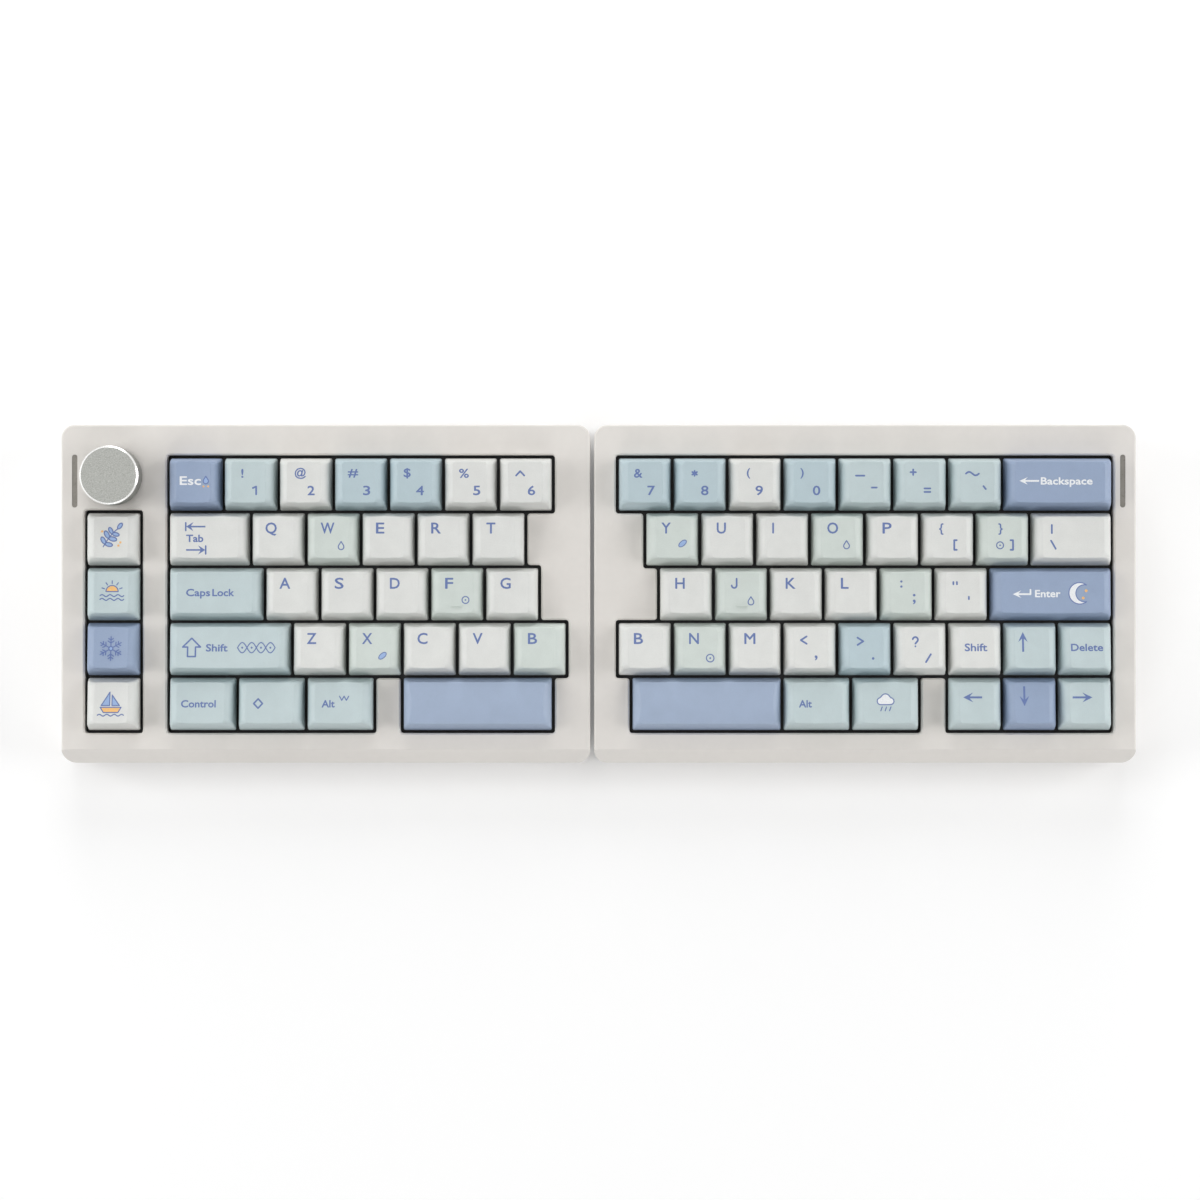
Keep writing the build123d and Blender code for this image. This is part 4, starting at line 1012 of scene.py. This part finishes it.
def add_contacts(side, port):
    """Contact strips on the tongue inside one half's charging port."""
    strips = bmesh.new()
    for face in (-1, 1):
        for i in range(CONTACT_COUNT):
            place = Vector((port.centre.x + (i - (CONTACT_COUNT - 1) / 2) * CONTACT_PITCH,
                            port.high.y - CONTACT_CENTRE, port.centre.z + face * TONGUE_HALF))
            matrix = DECK @ Matrix.Translation(place) @ Matrix.Diagonal((*CONTACT_SIZE, 1.0))
            bmesh.ops.create_cube(strips, size=1.0, matrix=matrix)
    mesh = built(strips, f"{side}_port_contacts")
    mesh.materials.append(plain_metal("contact_gold", CONTACT_GOLD, 0.3))
    piece = put(f"{side}_port_contacts", mesh)
    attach(piece, f"{side}_half")


def dress_halves():
    """Finishes of the case and of everything in it, on both halves."""
    case = sprayed_case()
    black = moulded("housing_plastic", HOUSING_BLACK, 0.45)
    steel = plain_metal("screw_steel", STEEL_GREY, 0.35)
    spring = plain_metal("spring_steel", SPRING_GREY, 0.35)
    board = moulded("board_mask", BOARD_GREEN, 0.35, 2.0, 0.03)
    finishes = {
        "top_case": case,
        "bottom_case": case,
        "case_screws": steel,
        "foot_pads": moulded("pad_rubber", PAD_GREY, 0.8, 0.5, 0.04),
        "gaskets": moulded("gasket_rubber", GASKET_BLACK, 0.9, 0.4, 0.05),
        "switch_plate": moulded("plate_metal", PLATE_BLACK, 0.4),
        "circuit_board": board,
        "switch_housings": black,
        "switch_springs": spring,
        "stabilizer_guides": black,
        "light_bar": milky_diffuser(),
        "battery": plain_metal("battery_film", BATTERY_GREY, 0.4),
        "usb_board": board,
        "outer_foot": case,
        "inner_foot": case,
    }
    for side in ("left", "right"):
        for name, finish in finishes.items():
            dress(f"{side}_{name}", finish)
        port = max(solids_of(f"{side}_usb_board"), key=lambda solid: solid.high.y)
        dress_part(f"{side}_usb_board", port.polygons, steel)
        add_contacts(side, port)
    for key in ("left_shift", "left_space", "backspace", "enter", "right_space"):
        dress(f"{key}_wire", spring)
    satin = plain_metal("encoder_metal", STEEL_GREY, 0.4)
    dress("encoder_body", satin)
    dress("encoder_shaft", satin)
    dress("encoder_plunger", black)


def make_lamp(name, place, power):
    """A square soft light that faces the object."""
    light = bpy.data.lights.new(name, "AREA")
    light.size = LAMP_SIZE
    light.energy = power
    lamp = put(name, light)
    lamp.location = place
    lamp.rotation_euler = (Vector(LAMP_AIM) - Vector(place)).to_track_quat("-Z", "Y").to_euler()


def seen_directly(nodes, links):
    """1 for rays from the camera, off gloss or through glass, and 0 for light on things."""
    path = nodes.new("ShaderNodeLightPath")
    seen = path.outputs["Is Camera Ray"]
    for name in ("Is Glossy Ray", "Is Transmission Ray"):
        seen = combined(nodes, links, "MAXIMUM", seen, path.outputs[name])
    return seen


def make_world():
    """Even studio light from all round, and white where it is seen."""
    world = bpy.data.worlds.new("studio")
    bpy.context.scene.world = world
    world.use_nodes = True
    nodes, links = world.node_tree.nodes, world.node_tree.links
    nodes.clear()
    light = nodes.new("ShaderNodeBackground")
    light.inputs["Strength"].default_value = WORLD_LIGHT
    white = nodes.new("ShaderNodeBackground")
    for background in (light, white):
        background.inputs["Color"].default_value = (1.0, 1.0, 1.0, 1.0)
    mix = nodes.new("ShaderNodeMixShader")
    links.new(seen_directly(nodes, links), mix.inputs["Fac"])
    links.new(light.outputs["Background"], mix.inputs[1])
    links.new(white.outputs["Background"], mix.inputs[2])
    output = nodes.new("ShaderNodeOutputWorld")
    links.new(mix.outputs["Shader"], output.inputs["Surface"])


def make_floor():
    """A pale floor that is seen as white, less the object's shadow."""
    shape = bmesh.new()
    bmesh.ops.create_grid(shape, x_segments=1, y_segments=1, size=FLOOR_SIZE / 2)
    floor = put("floor", built(shape, "floor"))
    material = bpy.data.materials.new("floor_white")
    material.use_nodes = True
    nodes, links = material.node_tree.nodes, material.node_tree.links
    nodes.clear()
    matte = nodes.new("ShaderNodeBsdfDiffuse")
    matte.inputs["Color"].default_value = linear(FLOOR_WHITE)
    distance = nodes.new("ShaderNodeVectorMath")
    distance.operation = "LENGTH"
    links.new(nodes.new("ShaderNodeTexCoord").outputs["Object"], distance.inputs[0])
    level = ranged(nodes, links, distance.outputs["Value"], *FLOOR_REACH, *FLOOR_GLOW)
    strength = combined(nodes, links, "MULTIPLY", seen_directly(nodes, links), level)
    glow = nodes.new("ShaderNodeEmission")
    links.new(strength, glow.inputs["Strength"])
    both = nodes.new("ShaderNodeAddShader")
    links.new(matte.outputs["BSDF"], both.inputs[0])
    links.new(glow.outputs["Emission"], both.inputs[1])
    output = nodes.new("ShaderNodeOutputMaterial")
    links.new(both.outputs["Shader"], output.inputs["Surface"])
    floor.data.materials.append(material)


def make_camera():
    """A camera that looks straight down on the deck, as the photograph does."""
    lens = bpy.data.cameras.new("camera")
    lens.lens = LENS
    lens.sensor_width = SENSOR
    lens.clip_start, lens.clip_end = CLIP
    lens.shift_x = (CENTRE_X - EYE[0]) / (EYE[2] - DECK_TOP) * LENS / SENSOR
    camera = put("camera", lens)
    turn = DECK.to_3x3() @ Matrix.Scale(1 / MM, 3)
    camera.matrix_world = Matrix.Translation(DECK @ Vector(EYE)) @ turn.to_4x4()
    bpy.context.scene.camera = camera


make_camera()
make_world()
make_floor()
for name, place, power in LAMPS:
    make_lamp(name, place, power)
dress_halves()
dress_keys()
dress_knob()
bpy.context.scene.view_settings.view_transform = "Standard"
